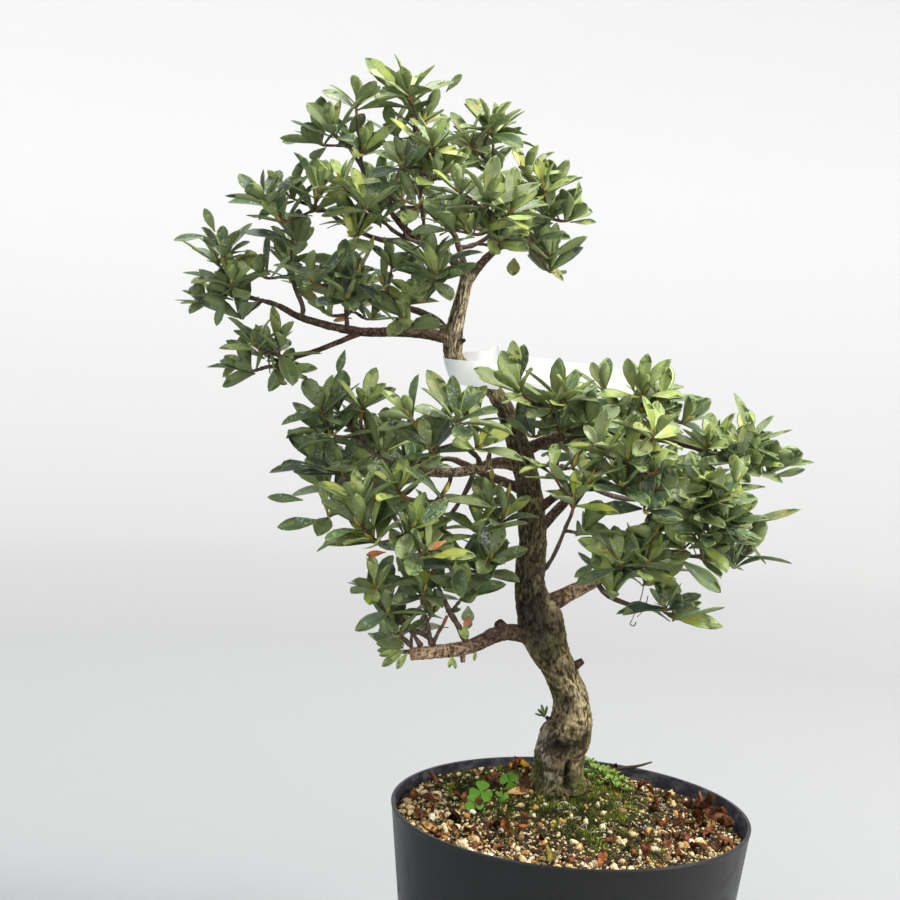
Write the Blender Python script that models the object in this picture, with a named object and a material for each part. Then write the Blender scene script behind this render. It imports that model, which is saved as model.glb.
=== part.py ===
# A trained azalea in a round nursery pot, as separate closed solids.
# Metres, +Z up. The origin is the centre of the pot's underside, and -Y is the tree's front.

import itertools
import math

import bmesh
import bpy
import numpy as np
from mathutils.bvhtree import BVHTree

MM = 0.001
GAP = 0.3 * MM                    # clear space between neighbouring solids
SEED = 11
GOLDEN_ANGLE = math.pi * (3 - math.sqrt(5))
UP = np.array([0.0, 0.0, 1.0])

# pot
POT_HEIGHT = 135 * MM
POT_RIM_RADIUS = 80 * MM
POT_BASE_RADIUS = 63 * MM
POT_WALL = 1.4 * MM
POT_FLOOR = 2.0 * MM
LIP_HEIGHT = 3.0 * MM             # a slightly thicker edge runs round the rim
LIP_PROUD = 0.5 * MM
POT_SIDES = 40
DRAIN_COUNT = 6
DRAIN_RADIUS = 5 * MM
DRAIN_CIRCLE = 44 * MM
DRAIN_SIDES = 8

# soil: a low mound that is highest at the trunk and falls away to the wall
FOOT_CENTRE = np.array([-2.0, 30.0]) * MM
GROUND = 134.6 * MM               # height of the trunk's flat cut
SEAT_RADIUS = 19 * MM
SOIL_AT_WALL = 130.0 * MM
SOIL_CLEARANCE = 0.5 * MM         # between the soil's side and the pot's wall
SOIL_TILT = 2.5 * MM              # the surface dips towards the back right
SOIL_RINGS = 6
SOIL_SIDES = 32

# trunk: stations of height, sideways and backwards place, and half thickness, in mm
TRUNK_STATIONS = [
    (134.6, -3.4, 30.0, 14.8),
    (140.0, -4.0, 30.0, 12.0),
    (151.0, -4.0, 29.5, 11.2),
    (159.0, -2.3, 28.0, 11.2),
    (167.0, 0.0, 26.5, 9.8),
    (178.0, -1.0, 25.0, 8.1),
    (191.0, -6.5, 23.0, 7.2),
    (203.0, -13.5, 22.0, 8.3),
    (213.0, -17.3, 22.0, 8.9),
    (228.0, -23.0, 20.0, 7.0),
    (262.0, -24.4, 18.0, 5.8),
    (290.0, -31.5, 18.0, 5.1),
    (314.0, -43.5, 21.5, 3.7),
    (326.0, -57.0, 24.0, 3.5),
    (340.0, -65.0, 23.0, 4.1),
    (354.0, -62.8, 20.5, 3.3),
    (369.0, -60.2, 18.0, 2.6),
]
TRUNK_SIDES = 12
TRUNK_STEPS = 2                   # rings between two stations
ROOT_LOBES = 5
ROOT_LOBE_DEPTH = 0.09
ROOT_LOBE_FADE = 12 * MM          # height over which the lobes fade away
BOUGH_SIDES = 7
BOUGH_STEPS = 2

# boughs: parent limb, half thickness at both ends, and route in mm from inside the parent
BOUGHS = {
    "crown_bough_left": ("trunk", 2.1, 1.3, [(-60.5, 18.2, 367), (-70, 16, 376), (-86, 13, 384),
                                             (-94, 12, 391)]),
    "crown_bough_right": ("trunk", 2.1, 1.3, [(-60.6, 18.6, 365), (-54, 20, 374), (-47, 22, 381),
                                              (-35, 24, 390)]),
    "crown_bough_back": ("trunk", 1.9, 1.3, [(-61.4, 19.5, 361), (-62, 36, 372), (-67, 52, 386)]),
    "left_bough": ("trunk", 2.6, 1.3, [(-65, 23, 341), (-84, 17, 342), (-107, 14, 340),
                                       (-131, 15, 344), (-143, 16, 349)]),
    "left_bough_under": ("left_bough", 1.3, 1.0, [(-104, 14, 340.5), (-117, 10, 334),
                                                  (-126, 9, 330), (-134, 10, 327)]),
    "left_bough_back": ("trunk", 2.2, 1.3, [(-64.5, 24, 336), (-71, 42, 345), (-81, 55, 350),
                                            (-95, 64, 353)]),
    "middle_bough_left": ("trunk", 2.6, 1.7, [(-29.5, 18, 284), (-42, 8, 286), (-57, 0, 282),
                                              (-74, 0, 281), (-88, 1, 284)]),
    "middle_bough_back": ("trunk", 2.4, 1.5, [(-27, 18, 273), (-44, 36, 277), (-60, 50, 282)]),
    "low_bough_left": ("trunk", 3.9, 2.8, [(-16, 22, 208), (-34, 12, 212), (-51, 2, 204),
                                           (-75, -2, 200)]),
    "low_bough_right": ("trunk", 4.0, 2.2, [(-18.5, 21.5, 219), (-9, 22, 225), (6, 21, 234),
                                            (20, 20, 243), (33, 20, 247)]),
    "middle_bough_right": ("trunk", 2.2, 1.3, [(-24.5, 18, 263), (-13, 12, 274), (1, 5, 285)]),
    "middle_bough_right_back": ("trunk", 2.6, 1.5, [(-24.5, 18, 252), (-8, 38, 268), (6, 56, 283)]),
    "high_bough_right": ("trunk", 2.7, 1.4, [(-31.5, 18, 290), (-17, 26, 297), (6, 31, 301),
                                             (28, 30, 300), (42, 26, 298)]),
}

# masses of foliage: limb that carries it, where along that limb, centre, reach, and number of shoots
MASSES = {
    "crown_tip": ("crown_bough_left", 1.0, (-89, 18, 442), (27, 26, 20), 3),
    "crown_tip_left": ("crown_bough_left", 0.9, (-119, 8, 429), (26, 26, 18), 3),
    "crown_shoulder_left": ("crown_bough_left", 0.78, (-137, -3, 400), (27, 26, 17), 3),
    "crown_centre_top": ("crown_bough_left", 0.66, (-83, -10, 418), (27, 25, 20), 3),
    "crown_centre": ("crown_bough_left", 0.54, (-104, -18, 395), (24, 24, 16), 2),
    "crown_low": ("crown_bough_left", 0.36, (-75, -16, 370), (20, 22, 17), 2),
    "crown_shoulder_right": ("crown_bough_right", 0.68, (-54, 22, 431), (24, 26, 20), 3),
    "crown_right": ("crown_bough_right", 1.0, (-24, 20, 410), (25, 27, 20), 3),
    "crown_right_low": ("crown_bough_right", 0.84, (-22, 16, 382), (23, 26, 14), 2),
    "crown_front": ("crown_bough_right", 0.52, (-54, -30, 396), (26, 24, 18), 3),
    "crown_back": ("crown_bough_back", 1.0, (-90, 58, 415), (32, 28, 25), 4),
    "crown_back_right": ("crown_bough_back", 0.8, (-42, 62, 403), (28, 27, 24), 3),
    "left_tip": ("left_bough", 1.0, (-170, 18, 366), (24, 28, 26), 4),
    "left_middle": ("left_bough", 0.86, (-139, 14, 374), (21, 24, 22), 2),
    "left_centre": ("left_bough", 0.6, (-112, -8, 361), (23, 25, 18), 3),
    "left_inner": ("left_bough", 0.34, (-86, -2, 360), (19, 22, 19), 2),
    "left_under": ("left_bough_under", 1.0, (-150, 8, 326), (24, 24, 17), 2),
    "left_back": ("left_bough_back", 1.0, (-122, 66, 370), (32, 28, 22), 4),
    "low_left_top": ("middle_bough_left", 1.0, (-113, 8, 307), (29, 28, 20), 4),
    "low_left_shoulder": ("middle_bough_left", 0.4, (-63, -20, 309), (26, 25, 20), 3),
    "low_left_far": ("middle_bough_left", 0.9, (-118, 24, 276), (24, 26, 18), 2),
    "low_left_tip": ("middle_bough_left", 0.8, (-126, -8, 264), (24, 24, 19), 3),
    "low_left_front": ("middle_bough_left", 0.6, (-82, -30, 264), (27, 25, 20), 3),
    "low_left_inner": ("trunk", 0.46, (-49, -10, 250), (20, 22, 24), 2),
    "low_left_low": ("low_bough_left", 0.84, (-90, -8, 230), (24, 25, 23), 3),
    "low_left_shoot": ("low_bough_left", 0.93, (-88, 16, 203), (21, 20, 14), 1),
    "low_left_back": ("middle_bough_back", 1.0, (-92, 64, 288), (33, 29, 26), 4),
    "low_left_back_low": ("middle_bough_back", 0.75, (-70, 60, 248), (26, 25, 20), 3),
    "low_right_inner": ("high_bough_right", 0.3, (-20, 2, 318), (25, 25, 22), 3),
    "low_right_top": ("high_bough_right", 0.62, (26, 26, 318), (30, 27, 20), 4),
    "low_right_front": ("middle_bough_right", 1.0, (16, -26, 295), (27, 25, 22), 4),
    "low_right_far": ("high_bough_right", 1.0, (70, 22, 302), (31, 28, 20), 4),
    "low_right_bright": ("trunk", 0.43, (-8, -24, 276), (21, 22, 18), 2),
    "low_right_middle": ("high_bough_right", 0.84, (45, -8, 272), (24, 25, 22), 3),
    "low_right_edge": ("low_bough_right", 1.0, (76, 14, 262), (25, 27, 24), 3),
    "low_right_low": ("low_bough_right", 0.66, (14, -8, 250), (24, 24, 20), 3),
    "low_right_droop": ("low_bough_right", 0.5, (43, -4, 230), (25, 22, 15), 2),
    "low_right_back": ("middle_bough_right_back", 1.0, (4, 82, 302), (34, 29, 25), 4),
    "low_right_back_far": ("middle_bough_right_back", 0.8, (54, 66, 276), (30, 28, 25), 3),
    "low_right_back_low": ("low_bough_right", 0.84, (34, 58, 244), (26, 25, 20), 2),
}

# stems: one carries each mass, in a curve from its limb
STEM_RADIUS = 1.3 * MM
STEM_ROWS = 4
STEM_DROP = 0.35                  # it aims this far under the mass's centre, as a part of the reach
STEM_STOP = 0.3                   # part of the way to that aim at which it stops short
STEM_LEAVE = 0.3                  # pull of its straight start, as a part of its length
STEM_ARRIVE = 0.25                # pull of its end, as a part of its length
STEM_RISE = 0.5                   # how much its end turns upwards

# shoots and leaves
SHOOT_RADIUS = 1.0 * MM
SHOOT_TIP_RADIUS = 0.9 * MM
TWIG_SIDES = 3
SHOOT_SINK = 0.6 * MM             # how far a shoot starts behind the middle of what it forks from
SHOOT_SAG = 0.12                  # how far its middle sags, as a part of its length
SHOOT_ALONG = 0.6                 # a rosette faces partly along its shoot, partly outwards, partly up
SHOOT_OUT = 0.5
SHOOT_UP = 0.55
FORK_COST = 0.3                   # cost of a fork's distance from the stem's start, against a long shoot
LEAF_LENGTH = 27 * MM
LEAF_WIDTH = 12.5 * MM
LEAF_WIDEST = 0.58                # where a leaf is widest, as a part of its length
LEAF_RIB = 0.35 * MM              # how far the midrib stands over the blade's edges
LEAF_ARCH = 0.05                  # how far the tip bends down, as a part of the length
LEAF_ROOT = 3.0 * MM              # how far each leaf's root is sunk along its shoot
LEAVES_PER_SHOOT = 6
LEAF_TRIES = 16
LEAF_LEANS = (1.2, 0.9, 0.6)      # angle between leaf and shoot, less where the leaf doesn't fit
LEAF_PARTING = math.cos(0.62)     # leaves of one shoot stand at least this angle apart
LEAF_TRIMS = (1.0, 0.8)           # a shorter leaf is tried where a full one doesn't fit
SHOOT_INSET = 15 * MM             # shoots end this far inside the mass's reach
SHOOT_LEVEL = -0.3                # their middle height, as a part of the mass's reach over its centre
SHOOT_RISE = 0.35                 # how far their heights vary about it, as a part of the reach
REACH_SLACK = 1.06                # single leaves may pass the stated reach this far
SPACE_MARGIN = 0.05               # part of a mass's reach kept free at the border with its neighbours
LIMB_CLEARANCE = 0.8 * MM

# blank strip label that hangs in a loop round the upper trunk
LABEL_WIDTH = 12 * MM
LABEL_THICKNESS = 0.4 * MM
LABEL_TILT = math.radians(-7)
LABEL_ROUTE = [(20, 38), (-12, 36), (-36, 31.5), (-50, 28.7), (-58, 28.2), (-66, 28.4), (-71.5, 25),
               (-72, 19), (-65, 15.5), (-54, 15), (-46, 17.5), (-42, 22.5), (-40.5, 26.5)]
LABEL_PIVOT = -58 * MM            # sideways place where the strip's lower edge is at LABEL_HEIGHT
LABEL_HEIGHT = 322 * MM


def remove_all_objects():
    for item in list(bpy.data.objects):
        bpy.data.objects.remove(item, do_unlink=True)


def make_material(name, colour, roughness, metallic=0.0):
    material = bpy.data.materials.new(name)
    material.use_nodes = True
    shader = material.node_tree.nodes["Principled BSDF"]
    shader.inputs["Base Color"].default_value = (*colour, 1.0)
    shader.inputs["Roughness"].default_value = roughness
    shader.inputs["Metallic"].default_value = metallic
    return material


def add_object(name, mesh, material=None):
    item = bpy.data.objects.new(name, mesh)
    bpy.context.scene.collection.objects.link(item)
    if material is not None:
        mesh.materials.append(material)
    return item


def mesh_from(name, points, faces):
    # a closed mesh with every face turned to point out
    mesh = bpy.data.meshes.new(name)
    mesh.from_pydata([tuple(p) for p in points], [], faces)
    work = bmesh.new()
    work.from_mesh(mesh)
    bmesh.ops.recalc_face_normals(work, faces=work.faces)
    work.to_mesh(mesh)
    work.free()
    return mesh


def unit(vector):
    return vector / np.linalg.norm(vector)


def smooth_route(stations, steps):
    # Catmull-Rom curve through rows of (place, half thickness), with extra rows between the stations
    rows = np.asarray(stations, float)
    ends = np.vstack([2 * rows[0] - rows[1], rows, 2 * rows[-1] - rows[-2]])
    out = []
    for i in range(len(rows) - 1):
        a, b, c, d = ends[i:i + 4]
        for t in np.arange(steps) / steps:
            out.append(0.5 * (2 * b + (c - a) * t + (2 * a - 5 * b + 4 * c - d) * t ** 2
                              + (3 * b - a - 3 * c + d) * t ** 3))
    out.append(rows[-1])
    return np.array(out)


def ring_faces(rings, sides):
    # quads between neighbouring rings, and a flat face over each end
    faces = []
    for k in range(rings - 1):
        for i in range(sides):
            j = (i + 1) % sides
            faces.append((k * sides + i, k * sides + j, (k + 1) * sides + j, (k + 1) * sides + i))
    faces.append(tuple(range(sides)))
    faces.append(tuple(range((rings - 1) * sides, rings * sides)))
    return faces


def tube(name, route, sides, first_direction=None, lobes=None):
    # closed tube round a route of (x, y, z, half thickness) rows, its rings square to the route
    places = route[:, :3]
    ways = np.gradient(places, axis=0)
    ways /= np.linalg.norm(ways, axis=1)[:, None]
    if first_direction is not None:
        ways[0] = first_direction
    side = unit(np.cross(ways[0], [0.31, -0.95, 0.07]))
    angles = np.arange(sides) * 2 * math.pi / sides
    points = []
    for place, way, radius in zip(places, ways, route[:, 3]):
        side = unit(side - way * np.dot(side, way))
        across = np.cross(way, side)
        swell = np.ones(sides) if lobes is None else lobes(angles, place[2])
        ring = np.outer(np.cos(angles) * swell, side) + np.outer(np.sin(angles) * swell, across)
        points.extend(place + radius * ring)
    return mesh_from(name, points, ring_faces(len(route), sides))


def apply_boolean(item, operation, others, solver):
    # one Boolean of the item with every object of a collection, which is then removed
    group = bpy.data.collections.new("operands")
    bpy.context.scene.collection.children.link(group)
    for other in others:
        group.objects.link(other)
    modifier = item.modifiers.new("boolean", "BOOLEAN")
    modifier.operation = operation
    modifier.operand_type = "COLLECTION"
    modifier.collection = group
    modifier.solver = solver
    bpy.context.view_layer.update()
    evaluated = item.evaluated_get(bpy.context.evaluated_depsgraph_get())
    result = bpy.data.meshes.new_from_object(evaluated)
    item.modifiers.clear()
    item.data = result
    for other in others:
        bpy.data.objects.remove(other, do_unlink=True)
    bpy.data.collections.remove(group)


def turned_mesh(name, profile, sides):
    # solid of revolution about Z from a profile of (radius, height), with a flat face over each end
    points = []
    for radius, height in profile:
        for i in range(sides):
            angle = 2 * math.pi * i / sides
            points.append((radius * math.cos(angle), radius * math.sin(angle), height))
    return mesh_from(name, points, ring_faces(len(profile), sides))


def wall_radius(height):
    # outer radius of the pot's tapered wall, below the lip
    slope = (POT_RIM_RADIUS - LIP_PROUD - POT_BASE_RADIUS) / POT_HEIGHT
    return POT_BASE_RADIUS + slope * height


def make_pot(material):
    lip_foot = POT_HEIGHT - LIP_HEIGHT
    profile = [
        (wall_radius(0), 0),
        (wall_radius(lip_foot), lip_foot),
        (wall_radius(lip_foot) + LIP_PROUD, lip_foot + LIP_PROUD),
        (POT_RIM_RADIUS, POT_HEIGHT - LIP_PROUD),
        (POT_RIM_RADIUS - LIP_PROUD, POT_HEIGHT),
        (POT_RIM_RADIUS - LIP_PROUD - POT_WALL, POT_HEIGHT),
        (wall_radius(lip_foot) - POT_WALL, lip_foot),
        (wall_radius(POT_FLOOR) - POT_WALL, POT_FLOOR),
    ]
    pot = add_object("pot", turned_mesh("pot", profile, POT_SIDES), material)
    drains = []
    for i in range(DRAIN_COUNT):
        angle = 2 * math.pi * (i + 0.5) / DRAIN_COUNT
        cutter = bmesh.new()
        bmesh.ops.create_cone(cutter, cap_ends=True, segments=DRAIN_SIDES, radius1=DRAIN_RADIUS,
                              radius2=DRAIN_RADIUS, depth=4 * POT_FLOOR)
        drain_mesh = bpy.data.meshes.new("drain")
        cutter.to_mesh(drain_mesh)
        cutter.free()
        drain = add_object("drain", drain_mesh)
        drain.location = (DRAIN_CIRCLE * math.cos(angle), DRAIN_CIRCLE * math.sin(angle), 0)
        drains.append(drain)
    apply_boolean(pot, "DIFFERENCE", drains, "EXACT")


def soil_height(x, y):
    # flat seat under the trunk, then a fall towards the wall that is deeper at the back right
    away = math.hypot(x - FOOT_CENTRE[0], y - FOOT_CENTRE[1])
    seat = GROUND - GAP
    slope_length = POT_RIM_RADIUS - SEAT_RADIUS
    part = min(1.0, max(0.0, away - SEAT_RADIUS) / slope_length)
    dip = SOIL_TILT * max(0.0, x + y) / POT_RIM_RADIUS * part
    return seat - (seat - SOIL_AT_WALL) * part - dip


def make_soil(material):
    inset = POT_WALL + SOIL_CLEARANCE
    top_radius = wall_radius(SOIL_AT_WALL - SOIL_TILT) - inset
    points = [(0.0, 0.0, soil_height(0.0, 0.0))]
    for k in range(1, SOIL_RINGS + 1):
        for i in range(SOIL_SIDES):
            angle = 2 * math.pi * i / SOIL_SIDES
            radius = top_radius * k / SOIL_RINGS
            x = radius * math.cos(angle)
            y = radius * math.sin(angle)
            points.append((x, y, soil_height(x, y)))
    floor = POT_FLOOR + GAP
    floor_radius = wall_radius(floor) - inset
    for i in range(SOIL_SIDES):
        angle = 2 * math.pi * i / SOIL_SIDES
        points.append((floor_radius * math.cos(angle), floor_radius * math.sin(angle), floor))
    faces = []
    for i in range(SOIL_SIDES):
        j = (i + 1) % SOIL_SIDES
        faces.append((0, 1 + i, 1 + j))
        for k in range(SOIL_RINGS):
            upper = 1 + k * SOIL_SIDES
            lower = upper + SOIL_SIDES
            faces.append((upper + i, lower + i, lower + j, upper + j))
    bottom = 1 + SOIL_RINGS * SOIL_SIDES
    faces.append(tuple(range(bottom, bottom + SOIL_SIDES)))
    add_object("soil", mesh_from("soil", points, faces), material)


def trunk_route():
    rows = [(x * MM, y * MM, z * MM, radius * MM) for z, x, y, radius in TRUNK_STATIONS]
    return smooth_route(rows, TRUNK_STEPS)


def trunk_lobes(angles, height):
    # root lobes that fade away above the ground
    fade = math.exp(-(height - GROUND) / ROOT_LOBE_FADE)
    return 1 + ROOT_LOBE_DEPTH * fade * np.cos(ROOT_LOBES * angles)


def bough_route(name):
    parent, start_radius, end_radius, route = BOUGHS[name]
    count = len(route)
    rows = []
    for k, place in enumerate(route):
        radius = start_radius + (end_radius - start_radius) * k / (count - 1)
        rows.append((*place, radius))
    return smooth_route(np.array(rows) * MM, BOUGH_STEPS)


def make_limbs(bark):
    # every bough starts inside its parent and is cut back to just clear of the parent's skin
    routes = {"trunk": trunk_route()}
    trunk = tube("trunk", routes["trunk"], TRUNK_SIDES, UP, trunk_lobes)
    add_object("trunk", trunk, bark)
    for name, (parent, *_) in BOUGHS.items():
        routes[name] = bough_route(name)
        bough = add_object(name, tube(name, routes[name], BOUGH_SIDES), bark)
        fat = routes[parent].copy()
        fat[:, 3] += GAP
        fat[-1, :3] += GAP * unit(fat[-1, :3] - fat[-2, :3])
        sides = TRUNK_SIDES if parent == "trunk" else BOUGH_SIDES
        skin = add_object("parent_skin", tube("parent_skin", fat, sides))
        apply_boolean(bough, "DIFFERENCE", [skin], "EXACT")
    return routes


def along(route, part):
    # place, direction and half thickness at a part of a route's length
    steps = np.linalg.norm(np.diff(route[:, :3], axis=0), axis=1)
    run = np.concatenate([[0], np.cumsum(steps)])
    target = part * run[-1]
    row = np.array([np.interp(target, run, route[:, k]) for k in range(4)])
    k = min(np.searchsorted(run, target, side="right"), len(route) - 1)
    return row[:3], unit(route[k, :3] - route[k - 1, :3]), row[3]


def stem_route(routes, name):
    # a curve that leaves its limb squarely, at the tip or at the side, and rises into the mass
    limb, part, centre, reach, _ = MASSES[name]
    centre = np.array(centre) * MM
    reach = np.array(reach) * MM
    place, way, radius = along(routes[limb], part)
    hub = centre - UP * STEM_DROP * reach[2]
    if part == 1.0:
        leave = way
        start = place + leave * GAP
    else:
        towards = hub - place
        leave = unit(towards - way * np.dot(towards, way))
        start = place + leave * (radius + GAP)
    hub = hub + STEM_STOP * (start - hub)
    length = np.linalg.norm(hub - start)
    second = start + leave * STEM_LEAVE * length
    third = hub - (unit(hub - start) + STEM_RISE * UP) * STEM_ARRIVE * length
    t = np.linspace(0, 1, STEM_ROWS)[:, None]
    places = ((1 - t) ** 3 * start + 3 * (1 - t) ** 2 * t * second
              + 3 * (1 - t) * t ** 2 * third + t ** 3 * hub)
    radii = np.linspace(STEM_RADIUS, SHOOT_RADIUS, STEM_ROWS)
    return np.column_stack([places, radii]), leave


def fill_route(route, spacing=1.0 * MM):
    # rows close together along a route, for testing distances to it
    rows = []
    for a, b in zip(route[:-1], route[1:]):
        count = max(2, int(np.linalg.norm(b[:3] - a[:3]) / spacing) + 1)
        rows.append(a + (b - a) * np.linspace(0, 1, count)[:, None])
    return np.vstack(rows)


def in_own_space(points, index, centres, reaches):
    # a mass's space: within its reach, and nearer to it, measured in reaches, than to any other
    far = np.linalg.norm((points[:, None, :] - centres) / reaches, axis=2)
    own = far[:, index]
    others = np.delete(far, index, axis=1).min(axis=1)
    return bool(np.all((own <= 1) & (own + SPACE_MARGIN <= others)))


def clear_of(points, thickness, obstacles):
    away = np.linalg.norm(points[:, None, :] - obstacles[None, :, :3], axis=2)
    return bool(np.all(away > obstacles[:, 3] + thickness + LIMB_CLEARANCE))


def shoot_ends(centre, reach, count, rng):
    # a spiral round the mass's middle, inset so that the leaves end at its reach
    inner = np.maximum(reach - SHOOT_INSET, 0.3 * reach)
    turn = rng.uniform(0, 2 * math.pi)
    ends = []
    for k in range(count):
        ring = math.sqrt((k + 0.5) / count) if count > 1 else 0.0
        angle = turn + k * GOLDEN_ANGLE
        level = SHOOT_LEVEL + SHOOT_RISE * (1 - 2 * ring)
        away = inner * ring * np.array([math.cos(angle), math.sin(angle), 0.0])
        ends.append(centre + away * rng.uniform(0.9, 1.1) + UP * level * reach[2])
    return ends


# a leaf's corners are its root, its tip, its two edges and the top of its midrib
LEAF_FACES = [(0, 2, 4), (4, 2, 1), (3, 4, 1), (0, 4, 3), (0, 1, 2), (0, 3, 1)]


def leaf_points(root, way, normal, length, width):
    across = np.cross(way, normal)
    middle = root + way * LEAF_WIDEST * length
    tip = root + way * length - normal * LEAF_ARCH * length
    half = across * 0.5 * width
    return np.array([root, tip, middle + half, middle - half, middle + normal * LEAF_RIB])


def leaf_samples(points):
    root, tip, left, right, rib = points
    return np.array([tip, left, right, rib, (tip + left) / 2, (tip + right) / 2,
                     (root + left) / 2, (root + right) / 2, (root + tip) / 2])


class Mass:
    # one node of foliage while it grows: its space, the solids in it, and what it has to keep clear of

    def __init__(self, index, centres, reaches, obstacles):
        self.index = index
        self.centres = centres
        self.reaches = reaches
        self.obstacles = obstacles
        self.pieces = []
        self.trees = []
        self.leaf_trees = []

    def fits(self, points, thickness=0.0):
        inside = in_own_space(points, self.index, self.centres, self.reaches)
        return inside and clear_of(points, thickness, self.obstacles)

    def crosses(self, mesh, settled):
        # true where the mesh cuts one of the first few solids that have settled
        tree = tree_of(mesh)
        return any(tree.overlap(other) for other in self.trees[:settled])

    def cuts_leaf(self, mesh):
        tree = tree_of(mesh)
        return any(tree.overlap(leaf) for leaf in self.leaf_trees)

    def keep(self, name, mesh):
        self.pieces.append(add_object(name, mesh))
        self.trees.append(tree_of(mesh))
        if name == "leaf":
            self.leaf_trees.append(self.trees[-1])


def tree_of(mesh):
    corners = [vertex.co for vertex in mesh.vertices]
    return BVHTree.FromPolygons(corners, [tuple(face.vertices) for face in mesh.polygons])


def rosette(mass, root, axis, rng):
    # leaves round the end of a shoot, each turned by the golden angle from the one tried before it
    side = unit(np.cross(axis, [0.2, 0.9, 0.4]))
    across = np.cross(axis, side)
    turn = rng.uniform(0, 2 * math.pi)
    settled = len(mass.trees)
    leaves = []
    ways = []
    for k in range(LEAF_TRIES):
        angle = turn + k * GOLDEN_ANGLE
        size = rng.uniform(0.88, 1.1)
        out = side * math.cos(angle) + across * math.sin(angle)
        for lean, trim in itertools.product(LEAF_LEANS, LEAF_TRIMS):
            way = axis * math.cos(lean) + out * math.sin(lean)
            if any(np.dot(way, other) > LEAF_PARTING for other in ways):
                continue
            normal = unit(axis - way * np.dot(axis, way))
            points = leaf_points(root, way, normal, LEAF_LENGTH * size * trim, LEAF_WIDTH * size * trim)
            if not mass.fits(leaf_samples(points)):
                continue
            mesh = mesh_from("leaf", points, LEAF_FACES)
            if not mass.crosses(mesh, settled):
                leaves.append(mesh)
                ways.append(way)
                break
        if len(leaves) == LEAVES_PER_SHOOT:
            break
    return leaves


def grow_mass(name, index, stems, obstacles, centres, reaches, material):
    # one stem, shoots that fork from it or from each other, and leaves at the shoots' ends
    rng = np.random.default_rng([SEED, index])
    stem, leave = stems[name]
    mass = Mass(index, centres, reaches, obstacles)
    centre = centres[index]
    stem_piece = add_object(name, tube(name, stem, TWIG_SIDES, leave), material)
    mass.trees.append(tree_of(stem_piece.data))
    forks = [row[:3] for row in stem[-2:]]
    leaf_count = 0
    for end in shoot_ends(centre, reaches[index], MASSES[name][4], rng):
        costs = [np.linalg.norm(end - fork) + FORK_COST * np.linalg.norm(fork - stem[0, :3])
                 for fork in forks]
        fork = forks[int(np.argmin(costs))]
        span = np.linalg.norm(end - fork)
        if span < 2 * LEAF_ROOT or not mass.fits(end[None, :], SHOOT_RADIUS):
            continue
        bend = 0.5 * (fork + end) - UP * SHOOT_SAG * span
        start = fork - unit(bend - fork) * SHOOT_SINK
        shoot = np.array([(*start, SHOOT_RADIUS), (*bend, SHOOT_RADIUS), (*end, SHOOT_TIP_RADIUS)])
        shoot_mesh = tube("shoot", shoot, TWIG_SIDES)
        past_fork = fill_route(shoot)[3:, :3]
        if mass.cuts_leaf(shoot_mesh) or not clear_of(past_fork, SHOOT_RADIUS, obstacles):
            continue
        forwards = unit(end - bend)
        outwards = unit(end - centre + 0.1 * MM * UP)
        axis = unit(SHOOT_ALONG * forwards + SHOOT_OUT * outwards + SHOOT_UP * UP)
        leaves = rosette(mass, end - forwards * LEAF_ROOT, axis, rng)
        if not leaves:
            continue
        forks.append(bend)
        mass.keep("shoot", shoot_mesh)
        for leaf in leaves:
            mass.keep("leaf", leaf)
        leaf_count += len(leaves)
    apply_boolean(stem_piece, "UNION", mass.pieces, "MANIFOLD")
    return leaf_count


def make_foliage(routes, material):
    names = list(MASSES)
    centres = np.array([MASSES[name][2] for name in names]) * MM
    reaches = np.array([MASSES[name][3] for name in names]) * MM * REACH_SLACK
    stems = {name: stem_route(routes, name) for name in names}
    limbs = np.vstack([fill_route(route) for route in routes.values()] + [label_body()])
    counts = []
    for index, name in enumerate(names):
        others = [fill_route(stems[other][0]) for other in names if other != name]
        obstacles = np.vstack([limbs, *others])
        counts.append(grow_mass(name, index, stems, obstacles, centres, reaches, material))
    print("leaves:", sum(counts), dict(zip(names, counts)))


def label_line():
    # middle line of the strip: rows of (x, y, height of its lower edge)
    rows = np.array([(x, y, 0) for x, y in LABEL_ROUTE]) * MM
    line = smooth_route(rows, 2)
    line[:, 2] = LABEL_HEIGHT + math.sin(LABEL_TILT) * (line[:, 0] - LABEL_PIVOT)
    return line


def label_body():
    # rows of (place, thickness) that fill the strip, for testing distances to it
    line = fill_route(label_line(), 2 * MM)
    levels = np.linspace(0, LABEL_WIDTH, 6)
    rows = [np.column_stack([line + UP * level, np.full(len(line), LABEL_THICKNESS)]) for level in levels]
    return np.vstack(rows)


def make_label(material):
    # a thin upright strip that runs in from its free end, round the trunk and back on itself
    line = label_line()
    ways = np.gradient(line[:, :2], axis=0)
    ways /= np.linalg.norm(ways, axis=1)[:, None]
    normals = np.column_stack([-ways[:, 1], ways[:, 0], np.zeros(len(ways))])
    points = []
    for place, normal in zip(line, normals):
        for side, level in ((1, 0), (1, 1), (-1, 1), (-1, 0)):
            points.append(place + side * normal * 0.5 * LABEL_THICKNESS + UP * level * LABEL_WIDTH)
    add_object("label", mesh_from("label", points, ring_faces(len(line), 4)), material)


def main():
    remove_all_objects()
    plastic = make_material("pot_plastic", (0.030, 0.032, 0.035), 0.55)
    earth = make_material("soil_surface", (0.16, 0.11, 0.06), 0.95)
    bark = make_material("bark", (0.17, 0.13, 0.08), 0.85)
    leaf = make_material("foliage", (0.09, 0.19, 0.05), 0.45)
    sheet = make_material("label_sheet", (0.86, 0.87, 0.87), 0.6)
    make_pot(plastic)
    make_soil(earth)
    routes = make_limbs(bark)
    make_label(sheet)
    make_foliage(routes, leaf)


main()
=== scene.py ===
import itertools
import math

import bmesh
import bpy
import numpy as np
from mathutils import Matrix, Vector


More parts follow.
